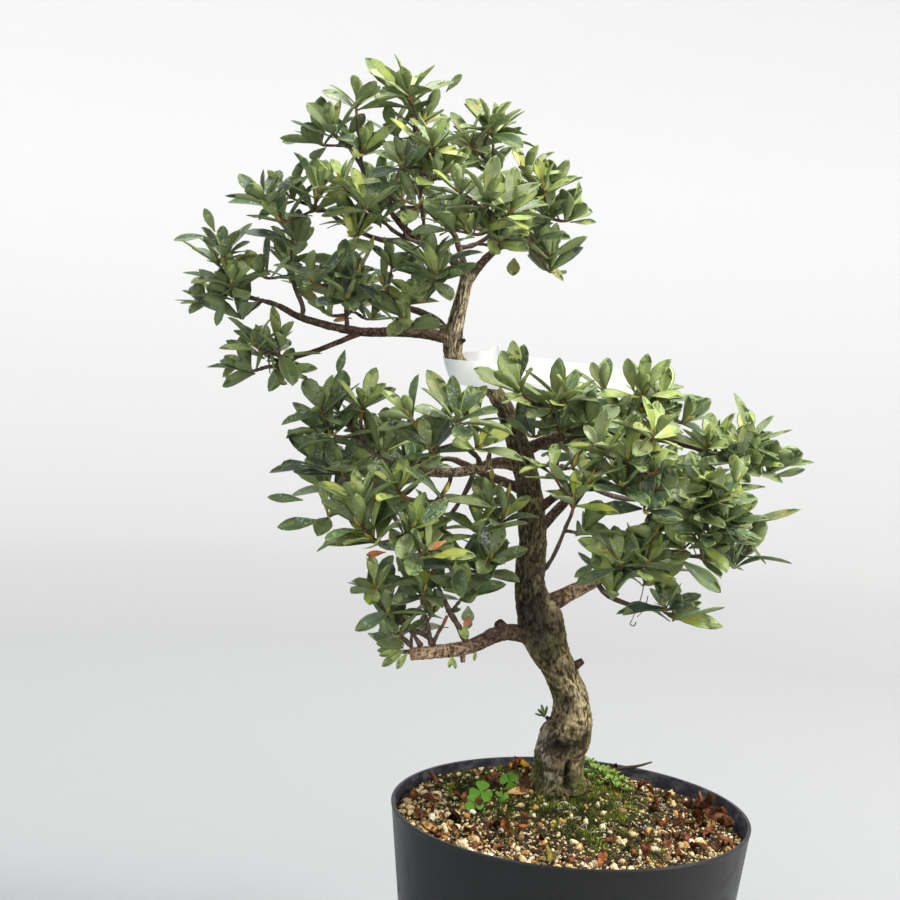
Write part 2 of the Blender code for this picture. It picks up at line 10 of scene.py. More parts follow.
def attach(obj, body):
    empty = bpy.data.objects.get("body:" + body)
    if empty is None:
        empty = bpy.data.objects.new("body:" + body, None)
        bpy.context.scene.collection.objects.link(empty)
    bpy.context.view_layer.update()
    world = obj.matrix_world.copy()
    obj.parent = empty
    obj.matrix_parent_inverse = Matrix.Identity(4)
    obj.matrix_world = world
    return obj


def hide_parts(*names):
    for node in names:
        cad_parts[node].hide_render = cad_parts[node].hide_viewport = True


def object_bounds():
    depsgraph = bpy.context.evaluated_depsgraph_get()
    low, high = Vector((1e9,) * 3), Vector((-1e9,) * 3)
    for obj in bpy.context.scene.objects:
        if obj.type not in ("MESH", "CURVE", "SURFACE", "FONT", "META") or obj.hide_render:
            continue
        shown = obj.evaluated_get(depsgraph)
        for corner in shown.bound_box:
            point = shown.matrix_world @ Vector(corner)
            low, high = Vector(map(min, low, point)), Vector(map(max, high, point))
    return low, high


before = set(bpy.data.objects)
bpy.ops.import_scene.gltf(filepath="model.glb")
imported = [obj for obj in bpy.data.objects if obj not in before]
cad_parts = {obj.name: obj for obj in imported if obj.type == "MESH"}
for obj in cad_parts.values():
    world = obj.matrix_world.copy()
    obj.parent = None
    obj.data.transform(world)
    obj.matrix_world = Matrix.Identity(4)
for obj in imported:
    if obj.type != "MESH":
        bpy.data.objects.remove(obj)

# A trained azalea in its nursery pot: bark, twigs, leaves, pot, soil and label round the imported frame.
# Everything is in metres in the frame's own axes. Lists marked mm are in millimetres.

cadBox = [list(corner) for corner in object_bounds()]
mm = 0.001
up = np.array([0.0, 0.0, 1.0])
fullTurn = 2 * math.pi
goldenAngle = math.pi * (3 - math.sqrt(5))


def unit(vectors):
    # every vector divided by its own length
    vectors = np.asarray(vectors, float)
    return vectors / np.maximum(np.linalg.norm(vectors, axis=-1, keepdims=True), 1e-12)


def dot(a, b):
    return np.sum(a * b, axis=-1, keepdims=True)


def awayFrom(points, place):
    # distance of every point to one place
    return np.linalg.norm(points - np.asarray(place), axis=-1)


def bell(distance, width):
    # exp(-(distance / width)^2)
    return np.exp(-(distance / width) ** 2)


def smooth(t):
    # 3t^2 - 2t^3: level at 0 and at 1
    return t * t * (3 - 2 * t)


def angles(count):
    # equal steps of one full turn
    return np.arange(count) * fullTurn / count


def circle(angle):
    # places on the unit circle
    return np.stack([np.cos(angle), np.sin(angle)], axis=-1)


def scaled(colour, amount):
    return tuple(amount * part for part in colour)


def smoothRoute(stations, steps):
    # Catmull-Rom curve through rows of stations: 0.5 (2b + (c-a)t + (2a-5b+4c-d)t^2 + (3b-a-3c+d)t^3)
    rows = np.asarray(stations, float)
    ends = np.vstack([2 * rows[0] - rows[1], rows, 2 * rows[-1] - rows[-2]])
    a, b, c, d = (ends[k:len(ends) - 3 + k, None, :] for k in range(4))
    t = (np.arange(steps) / steps)[None, :, None]
    curve = 0.5 * (2 * b + (c - a) * t + (2 * a - 5 * b + 4 * c - d) * t ** 2
                   + (3 * b - a - 3 * c + d) * t ** 3)
    return np.vstack([curve.reshape(-1, rows.shape[1]), rows[-1]])


def runOf(places):
    # distance from the start of a route to each of its rows
    steps = np.linalg.norm(np.diff(places[:, :3], axis=0), axis=1)
    return np.concatenate([[0], np.cumsum(steps)])


def evenRoute(route, spacing):
    # the same route with rows at an even spacing
    run = runOf(route)
    wanted = np.linspace(0, run[-1], max(2, int(run[-1] / spacing) + 1))
    return np.column_stack([np.interp(wanted, run, column) for column in route.T])


def fewerRows(route, count):
    # evenly numbered rows picked out of a route
    return route[np.linspace(0, len(route) - 1, count).round().astype(int)]


def lumps(points, seed):
    # smooth value noise from -1 to 1: the eight corner values of each unit cell, blended by smooth(t)
    size = 32
    table = np.random.default_rng(seed).uniform(-1, 1, (size, size, size))
    cell = np.floor(points).astype(int)
    t = smooth(points - cell)
    total = 0
    for corner in itertools.product((0, 1), repeat=3):
        weight = np.prod(np.where(corner, t, 1 - t), axis=-1)
        i, j, k = np.moveaxis((cell + corner) % size, -1, 0)
        total = total + weight * table[i, j, k]
    return total


def gridFaces(rows, columns, closed):
    # quads of a grid of points; closed joins the last column to the first
    r, c = np.meshgrid(np.arange(rows - 1), np.arange(columns - (not closed)), indexing="ij")
    following = (c + 1) % columns
    low, high = r * columns, (r + 1) * columns
    return np.stack([low + c, low + following, high + following, high + c], axis=-1).reshape(-1, 4)


def turnedFaces(rows, sides, flipped=False):
    # quads between the rings of a turned shape, and triangles from its first and last ring to two poles
    k = np.arange(sides)
    following = (k + 1) % sides
    last, pole = (rows - 1) * sides, np.full(sides, rows * sides)
    walls = gridFaces(rows, sides, True)
    first = np.column_stack([following, k, pole])
    final = np.column_stack([last + k, last + following, pole + 1])
    if flipped:
        return walls[:, ::-1], first[:, [1, 0, 2]], final[:, [1, 0, 2]]
    return walls, first, final


def ringsAt(reach, level, angle):
    # rings of points about the upright: reach and level are columns, one row for each ring
    x, y = reach * np.cos(angle), reach * np.sin(angle)
    return np.stack([x, y, np.broadcast_to(level, x.shape)], axis=-1)


def repeated(faces, count, stride):
    # the same faces for many copies of a shape whose corners follow each other
    return (faces[None] + (np.arange(count) * stride)[:, None, None]).reshape(-1, faces.shape[1])


def tubesOf(count, rows, sides, first=0):
    # walls, first ends and last ends of many like tubes, whose corners follow each other from the first on
    return [repeated(part, count, rows * sides) + first for part in tubeFaces(rows, sides)]


def addObject(name, data):
    thing = bpy.data.objects.new(name, data)
    bpy.context.scene.collection.objects.link(thing)
    return thing


def meshObject(name, points, faceGroups, materials, values=None):
    # a mesh object at the origin; faceGroups pairs an array of faces with one or many material numbers
    mesh = bpy.data.meshes.new(name)
    points = np.ascontiguousarray(points, np.float32).reshape(-1, 3)
    mesh.vertices.add(len(points))
    mesh.vertices.foreach_set("co", points.ravel())
    corners = np.concatenate([faces.ravel() for faces, _ in faceGroups]).astype(np.int32)
    sizes = np.concatenate([np.full(len(faces), faces.shape[1]) for faces, _ in faceGroups])
    numbers = np.concatenate([np.broadcast_to(number, len(faces)) for faces, number in faceGroups])
    mesh.loops.add(len(corners))
    mesh.polygons.add(len(sizes))
    starts = np.concatenate([[0], np.cumsum(sizes)[:-1]])
    mesh.polygons.foreach_set("loop_start", starts.astype(np.int32))
    mesh.polygons.foreach_set("vertices", corners)
    for material in materials:
        mesh.materials.append(material)
    mesh.polygons.foreach_set("material_index", numbers.astype(np.int32))
    mesh.polygons.foreach_set("use_smooth", np.ones(len(sizes), bool))
    for key, column in (values or {}).items():
        layer = mesh.attributes.new(key, "FLOAT", "POINT")
        layer.data.foreach_set("value", np.ascontiguousarray(column, np.float32).ravel())
    mesh.update(calc_edges=True)
    return addObject(name, mesh)


def buildPiece(name, points, faceGroups, materials, replaced=(), values=None):
    # a part of the object: it rides on the one body and may stand in for solids
    piece = meshObject(name, points, faceGroups, materials, values)
    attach(piece, "root")
    if replaced:
        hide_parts(*replaced)
    triangles = sum(len(faces) * (faces.shape[1] - 2) for faces, _ in faceGroups)
    print(f"{name}: {triangles} triangles")
    return piece


aslant = [0.31, -0.95, 0.07]      # a direction that no limb or twig follows


def ringsAlong(places, radii, sides, swell=1.0, lift=0.0):
    # rings of points square to a path: place + (radius * swell + lift) (cos a side + sin a across)
    ways = unit(np.gradient(places, axis=-2))
    overall = places[..., -1:, :] - places[..., :1, :]
    side = np.cross(unit(overall), aslant)
    side = unit(side - ways * dot(side, ways))
    across = np.cross(ways, side)
    a = angles(sides)[:, None]
    rim = np.cos(a) * side[..., None, :] + np.sin(a) * across[..., None, :]
    reach = radii[..., None] * swell + lift
    return places[..., None, :] + reach[..., None] * rim


def tubeFaces(rows, sides):
    # quads round a tube, and the two end faces
    quads = gridFaces(rows, sides, True)
    foot = np.arange(sides)[::-1][None]
    head = (np.arange(sides) + (rows - 1) * sides)[None]
    return quads, foot, head


class Value:
    # a number or colour that comes out of a node, so that shader maths reads as an expression
    def __init__(self, finish, socket):
        self.finish = finish
        self.socket = socket

    def maths(self, operation, other):
        return self.finish.add("Math", {"operation": operation}, {0: self, 1: other})

    def __add__(self, other):
        return self.maths("ADD", other)

    def __mul__(self, other):
        return self.maths("MULTIPLY", other)

    __radd__ = __add__

    def step(self, low, high):
        # 0 below low, 1 above high, smooth between
        settings = {"interpolation_type": "SMOOTHSTEP"}
        return self.finish.add("MapRange", settings, {"Value": self, "From Min": low, "From Max": high})


class Finish:
    # a material made of one Principled shader; constants are set on its own sockets
    def __init__(self, name, **constants):
        self.material = bpy.data.materials.new(name)
        self.material.use_nodes = True
        self.tree = self.material.node_tree
        self.shader = self.tree.nodes["Principled BSDF"]
        self.place = None
        for key, value in constants.items():
            self.shader.inputs[key.replace("_", " ")].default_value = value

    def add(self, kind, settings=None, values=None, output=0):
        # one node: its settings first, then the values or links of its sockets
        node = self.tree.nodes.new("ShaderNode" + kind)
        for key, setting in (settings or {}).items():
            if key == "stops":
                elements = node.color_ramp.elements
                while len(elements) < len(setting):
                    elements.new(1.0)
                for element, (position, colour) in zip(elements, setting):
                    element.position = position
                    element.color = (*colour, 1.0)
            else:
                setattr(node, key, setting)
        for key, value in (values or {}).items():
            self.feed(node.inputs[key], value)
        return Value(self, node.outputs[output])

    def feed(self, socket, value):
        if isinstance(value, Value):
            self.tree.links.new(value.socket, socket)
        elif socket.type == "RGBA":
            socket.default_value = (*value, 1.0)
        else:
            socket.default_value = value

    def objectPlace(self, stretch=(1, 1, 1)):
        # object coordinates, scaled so that a pattern can be drawn out along an axis
        if self.place is None:
            self.place = self.add("TexCoord", output=3)
        if stretch == (1, 1, 1):
            return self.place
        return self.add("Mapping", {}, {"Vector": self.place, "Scale": stretch})

    def noise(self, size, detail=3.0, stretch=(1, 1, 1), roughness=0.55, distortion=0.0):
        values = {"Vector": self.objectPlace(stretch), "Scale": 1 / size, "Detail": detail,
                  "Roughness": roughness, "Distortion": distortion}
        return self.add("TexNoise", {}, values)

    def attribute(self, name):
        return self.add("Attribute", {"attribute_name": name}, {}, 2)

    def ramp(self, factor, stops):
        return self.add("ValToRGB", {"stops": stops}, {"Fac": factor})

    def mix(self, factor, a, b):
        return self.add("Mix", {"data_type": "RGBA"}, {0: factor, 6: a, 7: b}, 2)

    def use(self, key, value):
        self.feed(self.shader.inputs[key], value)

    def bump(self, height, distance, strength=1.0):
        values = {"Height": height, "Distance": distance, "Strength": strength}
        self.use("Normal", self.add("Bump", {}, values))


# the camera, and places found through its frame of 900 by 900 points

sight = {"place": (-0.0632, -0.6963, 0.3533), "pitch": 5.1, "roll": 3.6, "lens": 64.0, "sensor": 36.0,
         "frame": 900}
focal = sight["lens"] / sight["sensor"] * sight["frame"]


def sightAxes():
    # directions forward, to the right and upwards in the frame, pitched down and then rolled
    pitch, roll = math.radians(sight["pitch"]), math.radians(sight["roll"])
    forward = np.array([0, math.cos(pitch), -math.sin(pitch)])
    above = np.array([0, math.sin(pitch), math.cos(pitch)])
    right = np.array([1.0, 0, 0])
    rolled = right * math.cos(roll) + above * math.sin(roll)
    return forward, rolled, above * math.cos(roll) - right * math.sin(roll)


def sightLines(points):
    # directions through points of the frame
    forward, right, above = sightAxes()
    offset = (np.asarray(points, float) - sight["frame"] / 2) / focal
    return forward + offset[..., :1] * right - offset[..., 1:2] * above


def placeAtDepth(points, depth):
    # where the lines of sight through points of the frame meet the plane y = depth
    lines = sightLines(points)
    start = np.array(sight["place"])
    return start + lines * ((np.asarray(depth) - start[1]) / lines[..., 1])[..., None]


def placeAtHeight(points, height):
    # and where they meet the plane z = height
    lines = sightLines(points)
    start = np.array(sight["place"])
    return start + lines * ((height - start[2]) / lines[..., 2])[..., None]


def frameOf(places):
    # the points of the frame where places are seen
    forward, right, above = sightAxes()
    away = np.asarray(places) - np.array(sight["place"])
    far = dot(away, forward)
    return np.concatenate([dot(away, right), -dot(away, above)], -1) / far * focal + sight["frame"] / 2


# the plant's limbs and masses, as its solids have them (mm)

trunk = {
    # height, sideways and backwards place, and half thickness in mm
    "stations": [
        (134.6, -3.4, 30.0, 14.8), (140.0, -4.0, 30.0, 12.0), (151.0, -4.0, 29.5, 11.2),
        (159.0, -2.3, 28.0, 11.2), (167.0, 0.0, 26.5, 9.8), (178.0, -1.0, 25.0, 8.1),
        (191.0, -6.8, 23.0, 7.7), (203.0, -13.3, 22.0, 9.2), (213.0, -16.8, 22.0, 9.6),
        (228.0, -23.0, 20.0, 7.0), (262.0, -24.4, 18.0, 5.8), (290.0, -31.5, 18.0, 5.1),
        (314.0, -42.8, 21.5, 3.7), (322.5, -55.0, 23.2, 3.6), (331.0, -64.3, 24.0, 3.7),
        (340.0, -65.0, 23.0, 4.1), (354.0, -62.8, 20.5, 3.3), (369.0, -60.2, 18.0, 2.6),
    ],
    "steps": 16, "sides": 156, "spacing": 0.5 * mm,
    "ground": 134.6 * mm, "rootLobes": 5, "rootLobeDepth": 0.09, "rootLobeFade": 12 * mm,
    "mossTop": 158 * mm,
}

# parent limb, half thickness at both ends, route from inside the parent
boughs = {
    "crown_bough_left": ("trunk", 2.1, 1.3, [
        (-60.5, 18.2, 367), (-70, 16, 376), (-86, 13, 384), (-94, 12, 391),
    ]),
    "crown_bough_right": ("trunk", 2.1, 1.3, [
        (-60.6, 18.6, 365), (-54, 20, 374), (-47, 22, 381), (-35, 24, 390),
    ]),
    "crown_bough_back": ("trunk", 1.9, 1.3, [(-61.4, 19.5, 361), (-62, 36, 372), (-67, 52, 386)]),
    "left_bough": ("trunk", 2.6, 1.3, [
        (-65, 23, 339.5), (-84, 17, 341), (-107, 14, 340), (-131, 15, 344), (-143, 16, 349),
    ]),
    "left_bough_under": ("left_bough", 1.3, 1.0, [
        (-104, 14, 340.5), (-117, 10, 334), (-126, 9, 330), (-134, 10, 327),
    ]),
    "left_bough_back": ("trunk", 2.2, 1.3, [
        (-64.5, 24, 336), (-71, 42, 345), (-81, 55, 350), (-95, 64, 353),
    ]),
    "middle_bough_left": ("trunk", 2.6, 1.7, [
        (-29.5, 18, 284), (-42, 8, 286), (-57, 0, 282), (-74, 0, 281), (-88, 1, 284),
    ]),
    "middle_bough_back": ("trunk", 2.4, 1.5, [(-27, 18, 273), (-44, 36, 277), (-60, 50, 282)]),
    "low_bough_left": ("trunk", 3.9, 2.8, [
        (-16, 22, 206), (-34, 12, 209.5), (-51, 2, 203.5), (-75, -2, 200),
    ]),
    "low_bough_right": ("trunk", 4.0, 2.2, [
        (-18.5, 21.5, 219), (-9, 22, 225), (6, 21, 234), (20, 20, 243), (33, 20, 247),
    ]),
    "middle_bough_right": ("trunk", 2.2, 1.3, [(-24.5, 18, 263), (-13, 12, 274), (1, 5, 285)]),
    "middle_bough_right_back": ("trunk", 2.6, 1.5, [(-24.5, 18, 252), (-8, 38, 268), (6, 56, 283)]),
    "high_bough_right": ("trunk", 2.7, 1.4, [
        (-31.5, 18, 290), (-17, 26, 297), (6, 31, 301), (28, 30, 300), (42, 26, 298),
    ]),
}

# limb that carries it, where along that limb, centre, reach, and number of main shoots
masses = {
    "crown_tip": ("crown_bough_left", 1.0, (-89, 18, 442), (27, 26, 20), 3),
    "crown_tip_left": ("crown_bough_left", 0.9, (-119, 8, 429), (26, 26, 18), 3),
    "crown_shoulder_left": ("crown_bough_left", 0.78, (-137, -3, 400), (27, 26, 17), 3),
    "crown_centre_top": ("crown_bough_left", 0.66, (-83, -10, 418), (27, 25, 20), 3),
    "crown_centre": ("crown_bough_left", 0.54, (-104, -18, 395), (24, 24, 16), 2),
    "crown_low": ("crown_bough_left", 0.36, (-75, -16, 370), (20, 22, 17), 2),
    "crown_shoulder_right": ("crown_bough_right", 0.68, (-54, 22, 431), (24, 26, 20), 3),
    "crown_right": ("crown_bough_right", 1.0, (-24, 20, 410), (25, 27, 20), 3),
    "crown_right_low": ("crown_bough_right", 0.84, (-22, 16, 382), (23, 26, 14), 2),
    "crown_front": ("crown_bough_right", 0.52, (-54, -30, 396), (26, 24, 18), 3),
    "crown_back": ("crown_bough_back", 1.0, (-90, 58, 415), (32, 28, 25), 4),
    "crown_back_right": ("crown_bough_back", 0.8, (-42, 62, 403), (28, 27, 24), 3),
    "left_tip": ("left_bough", 1.0, (-170, 18, 366), (24, 28, 26), 4),
    "left_middle": ("left_bough", 0.86, (-139, 14, 374), (21, 24, 22), 2),
    "left_centre": ("left_bough", 0.6, (-112, -8, 361), (23, 25, 18), 3),
    "left_inner": ("left_bough", 0.34, (-86, -2, 360), (19, 22, 19), 2),
    "left_under": ("left_bough_under", 1.0, (-150, 8, 326), (24, 24, 17), 2),
    "left_back": ("left_bough_back", 1.0, (-122, 66, 370), (32, 28, 22), 4),
    "low_left_top": ("middle_bough_left", 1.0, (-113, 8, 307), (29, 28, 20), 4),
    "low_left_shoulder": ("middle_bough_left", 0.4, (-63, -20, 309), (26, 25, 20), 3),
    "low_left_far": ("middle_bough_left", 0.9, (-118, 24, 276), (24, 26, 18), 2),
    "low_left_tip": ("middle_bough_left", 0.8, (-126, -8, 264), (24, 24, 19), 3),
    "low_left_front": ("middle_bough_left", 0.6, (-82, -30, 264), (27, 25, 20), 3),
    "low_left_inner": ("trunk", 0.46, (-49, -10, 250), (20, 22, 24), 2),
    "low_left_low": ("low_bough_left", 0.84, (-90, -8, 230), (24, 25, 23), 3),
    "low_left_shoot": ("low_bough_left", 0.93, (-88, 16, 203), (21, 20, 14), 1),
    "low_left_back": ("middle_bough_back", 1.0, (-92, 64, 288), (33, 29, 26), 4),
    "low_left_back_low": ("middle_bough_back", 0.75, (-70, 60, 248), (26, 25, 20), 3),
    "low_right_inner": ("high_bough_right", 0.3, (-20, 2, 318), (25, 25, 22), 3),
    "low_right_top": ("high_bough_right", 0.62, (26, 26, 318), (30, 27, 20), 4),
    "low_right_front": ("middle_bough_right", 1.0, (16, -26, 295), (27, 25, 22), 4),
    "low_right_far": ("high_bough_right", 1.0, (70, 22, 302), (31, 28, 20), 4),
    "low_right_bright": ("trunk", 0.43, (-8, -24, 276), (21, 22, 18), 2),
    "low_right_middle": ("high_bough_right", 0.84, (45, -8, 272), (24, 25, 22), 3),
    "low_right_edge": ("low_bough_right", 1.0, (76, 14, 262), (25, 27, 24), 3),
    "low_right_low": ("low_bough_right", 0.66, (14, -8, 250), (24, 24, 20), 3),
    "low_right_droop": ("low_bough_right", 0.5, (43, -4, 230), (25, 22, 15), 2),
    "low_right_back": ("middle_bough_right_back", 1.0, (4, 82, 302), (34, 29, 25), 4),
    "low_right_back_far": ("middle_bough_right_back", 0.8, (54, 66, 276), (30, 28, 25), 3),
    "low_right_back_low": ("low_bough_right", 0.84, (34, 58, 244), (26, 25, 20), 2),
}

# bark

mossColour = (0.1, 0.135, 0.02)
# the dark colours below also serve as painted shade, and the pale and ashen ones as painted light, in the
# zones
trunkLook = {"crevice": (0.022, 0.016, 0.011), "brown": (0.125, 0.098, 0.052), "plate": (0.3, 0.25, 0.13),
             "olive": (0.24, 0.22, 0.07), "violet": (0.17, 0.14, 0.12),
             "chip": (0.5, 0.42, 0.24), "chips": 0.35,
             "dark": ((0.008, 0.007, 0.006), (0.06, 0.05, 0.036)),
             "pale": ((0.12, 0.088, 0.038), (0.88, 0.73, 0.42)),
             "grey": ((0.09, 0.07, 0.055), (0.42, 0.36, 0.31)),
             "ashen": ((0.13, 0.09, 0.07), (0.95, 0.79, 0.54))}
boughLook = {"crevice": (0.022, 0.013, 0.011), "brown": (0.085, 0.053, 0.04), "plate": (0.24, 0.165, 0.11),
             "olive": (0.16, 0.125, 0.055), "violet": (0.12, 0.065, 0.06),
             "chip": (0.34, 0.25, 0.17), "chips": 0.2,
             "dark": ((0.006, 0.004, 0.003), (0.05, 0.035, 0.022)),
             "pale": ((0.15, 0.09, 0.05), (0.58, 0.42, 0.27)),
             "grey": ((0.09, 0.07, 0.055), (0.42, 0.36, 0.32)),
             "ashen": ((0.13, 0.09, 0.05), (0.74, 0.59, 0.38))}


def barkFinish(name, look):
    # dark in the cracks and pale on the plates (bark colour, with painted shade in the cracks and painted
    # light on the knobs), with olive, violet and stained patches, chips and zones, some of them painted
    # light and shade
    paint = Finish(name, Roughness=0.9, Specular_IOR_Level=0.12)
    crevice = look["crevice"]
    relief = paint.attribute("relief")
    wood = paint.ramp(relief, [(0.12, crevice), (0.45, look["brown"]), (0.85, look["plate"])])
    patches = paint.noise(9 * mm, 2.0, (1, 1, 0.5))
    wood = paint.mix(patches.step(0.48, 0.66) * 0.6, wood, paint.mix(relief, crevice, look["olive"]))
    cool = paint.noise(14 * mm, 2.0).step(0.5, 0.7)
    wood = paint.mix(cool * 0.45, wood, paint.mix(relief, crevice, look["violet"]))
    stain = paint.noise(8 * mm, 5.0, (1, 1, 0.5), distortion=0.8).step(0.52, 0.74)
    wood = paint.mix(stain * 0.35, wood, crevice)
    grain = paint.noise(0.9 * mm, 4.0, (1, 1, 0.3), 0.65)
    chips = paint.noise(1.5 * mm, 4.0, (1, 1, 0.45), 0.7).step(0.52, 0.62)
    wood = paint.mix(chips * look["chips"], wood, look["chip"])
    flaky = (relief * 0.7 + grain * 0.9).step(0.55, 0.98)
    # zones: dark is partly painted shade, pale and ashen partly painted light
    for kind in ("pale", "ashen", "grey", "dark"):
        wood = paint.mix(paint.attribute(kind), wood, paint.mix(flaky, *look[kind]))
    green = paint.attribute("moss") * paint.noise(2.2 * mm, 4.0).step(0.36, 0.58)
    wood = paint.mix(green, wood, paint.mix(grain.step(0.35, 0.65), (0.015, 0.02, 0.005), mossColour))
    # darker where the grain's bump is low: partly dark grain, partly painted shade in its small hollows
    wood = paint.mix(grain.step(0.62, 0.38) * 0.55, wood, crevice)
    paint.use("Base Color", wood)
    paint.bump(grain, 0.35 * mm, 0.7)
    return paint.material


def cutFinish():
    # the pale orange wood of a sawn end, with its rings
    paint = Finish("cutWood", Roughness=0.7)
    grain = paint.noise(0.8 * mm, 4.0)
    paint.use("Base Color", paint.ramp(grain, [
        (0.3, (0.16, 0.055, 0.02)), (0.6, (0.42, 0.2, 0.08)), (0.8, (0.55, 0.36, 0.2)),
    ]))
    paint.bump(grain, 0.3 * mm)
    return paint.material


# sizes of the forms in bark round and along a limb, as parts of the size of its plates, and their depths
bark = {"sway": (9, 9, 14), "plates": (1.1, 1.1, 2.4), "flakes": (0.6, 0.6, 1.3), "broken": (2.5, 2.5, 4.0),
        "cracks": (1.3, 1.3, 5.0), "swells": (6.0, 6.0, 8.0), "swayBy": 1.5, "sharp": 3.5,
        "crackWidth": 0.09, "plateDepth": 0.22, "flakeDepth": 0.17, "crackDepth": 0.5}


def barkRelief(route, sides, size, seed):
    # plates and flakes drawn out along the limb, each tanh of the noise, swells, and broken cracks, which
    # follow the zero lines of the noise as exp(-(noise / width)^2)
    run = runOf(route)[:, None]
    radius = route[:, 3].mean()
    place = ringsAt(np.full_like(run, radius), run, angles(sides)) / size
    sway = lumps(place / bark["sway"], seed)
    place = place + np.stack([sway, -sway, 0 * sway], axis=-1) * bark["swayBy"]
    plates = np.tanh(bark["sharp"] * lumps(place / bark["plates"], seed + 1))
    flakes = np.tanh(bark["sharp"] * lumps(place / bark["flakes"], seed + 2))
    broken = np.clip(0.5 + 1.5 * lumps(place / bark["broken"], seed + 3), 0, 1)
    cracks = bell(lumps(place / bark["cracks"], seed + 4), bark["crackWidth"]) * broken
    swells = lumps(place / bark["swells"], seed + 5)
    depth = bark["plateDepth"] * plates + bark["flakeDepth"] * flakes - bark["crackDepth"] * cracks
    # shade for the colour: pale plates and flakes, dark cracks; partly the bark's own pattern, partly
    # painted shade in the cracks
    shade = np.clip(0.5 + 0.17 * plates + 0.2 * flakes - 0.5 * cracks + 0.12 * swells, 0, 1)
    return depth * size, swells * size, shade


def limbRoute(name):
    # rows of a limb's places and half thicknesses
    if name == "trunk":
        rows = [(x, y, z, radius) for z, x, y, radius in trunk["stations"]]
        return smoothRoute(np.array(rows) * mm, trunk["steps"])
    _, startRadius, endRadius, route = boughs[name]
    radii = np.linspace(startRadius, endRadius, len(route))
    return smoothRoute(np.column_stack([route, radii]) * mm, 12)


# short dead stubs on the limbs (mm): root, direction, length, half thickness
stubs = [
    ((-0.5, 23, 193.5), (0.75, -0.2, 0.65), 5.0, 2.2), ((-34, 12.0, 210.5), (-0.6, -0.2, 0.8), 4.6, 3.4),
    ((-8.5, 23, 167.5), (-0.85, -0.2, 0.5), 3.6, 1.3), ((-52, 1.5, 201.5), (0.1, -0.2, -1.0), 4.5, 1.5),
    ((-23, 13, 243), (0.9, -0.4, 0.1), 3.0, 1.4), ((-29, 11.5, 262), (-0.8, -0.6, 0.2), 3.0, 1.5),
    ((-46, 4, 287.5), (0.1, -0.2, 1.0), 3.0, 1.2), ((-61.5, 21.0, 338), (0.9, -0.3, 0.5), 2.4, 1.2),
    ((-90, 13, 344.5), (-0.1, -0.3, 1.0), 2.6, 0.9),
]

# knobs on the trunk (mm): place, half width, height
knobs = [((7.5, 24, 158), 5.0, 1.6), ((8.0, 20, 166), 3.6, 1.0), ((1.0, 16, 160), 4.5, 1.3),
         ((-6, 18, 150), 4.0, 1.0), ((9.0, 30, 150), 4.0, 1.2), ((-15, 14, 206), 5.0, 1.2),
         ((-24, 22, 214), 4.5, 1.0), ((-2, 17.5, 172), 3.5, 0.8), ((-30, 17, 262), 3.5, 0.9),
         ((-18.5, 16, 250), 3.2, 0.8), ((-61, 22, 335), 4.0, 0.9), ((-46, 20, 312), 3.0, 0.7)]

# the dark crevice at the foot, on the right of the front, the hollows over it and the wrinkles (mm)
crevice = {"place": (-0.4, 18.7), "width": 1.3, "depth": 3.4, "top": 152, "fade": 5}
hollows = [((-5.6, 17.6, 156.7), 3.0, 2.2), ((2.1, 18.1, 157.6), 3.2, 2.6), ((6.8, 19.4, 161.8), 2.0, 2.2),
           ((-3.5, 17.3, 179.2), 2.2, 1.1), ((-4.2, 16.6, 194.2), 1.6, 0.8), ((-18.2, 14.0, 225), 2.6, 0.9)]
wrinkles = {"place": (1.0, 17.5, 166), "width": 7.5, "height": 0.6, "spacing": 3.1}
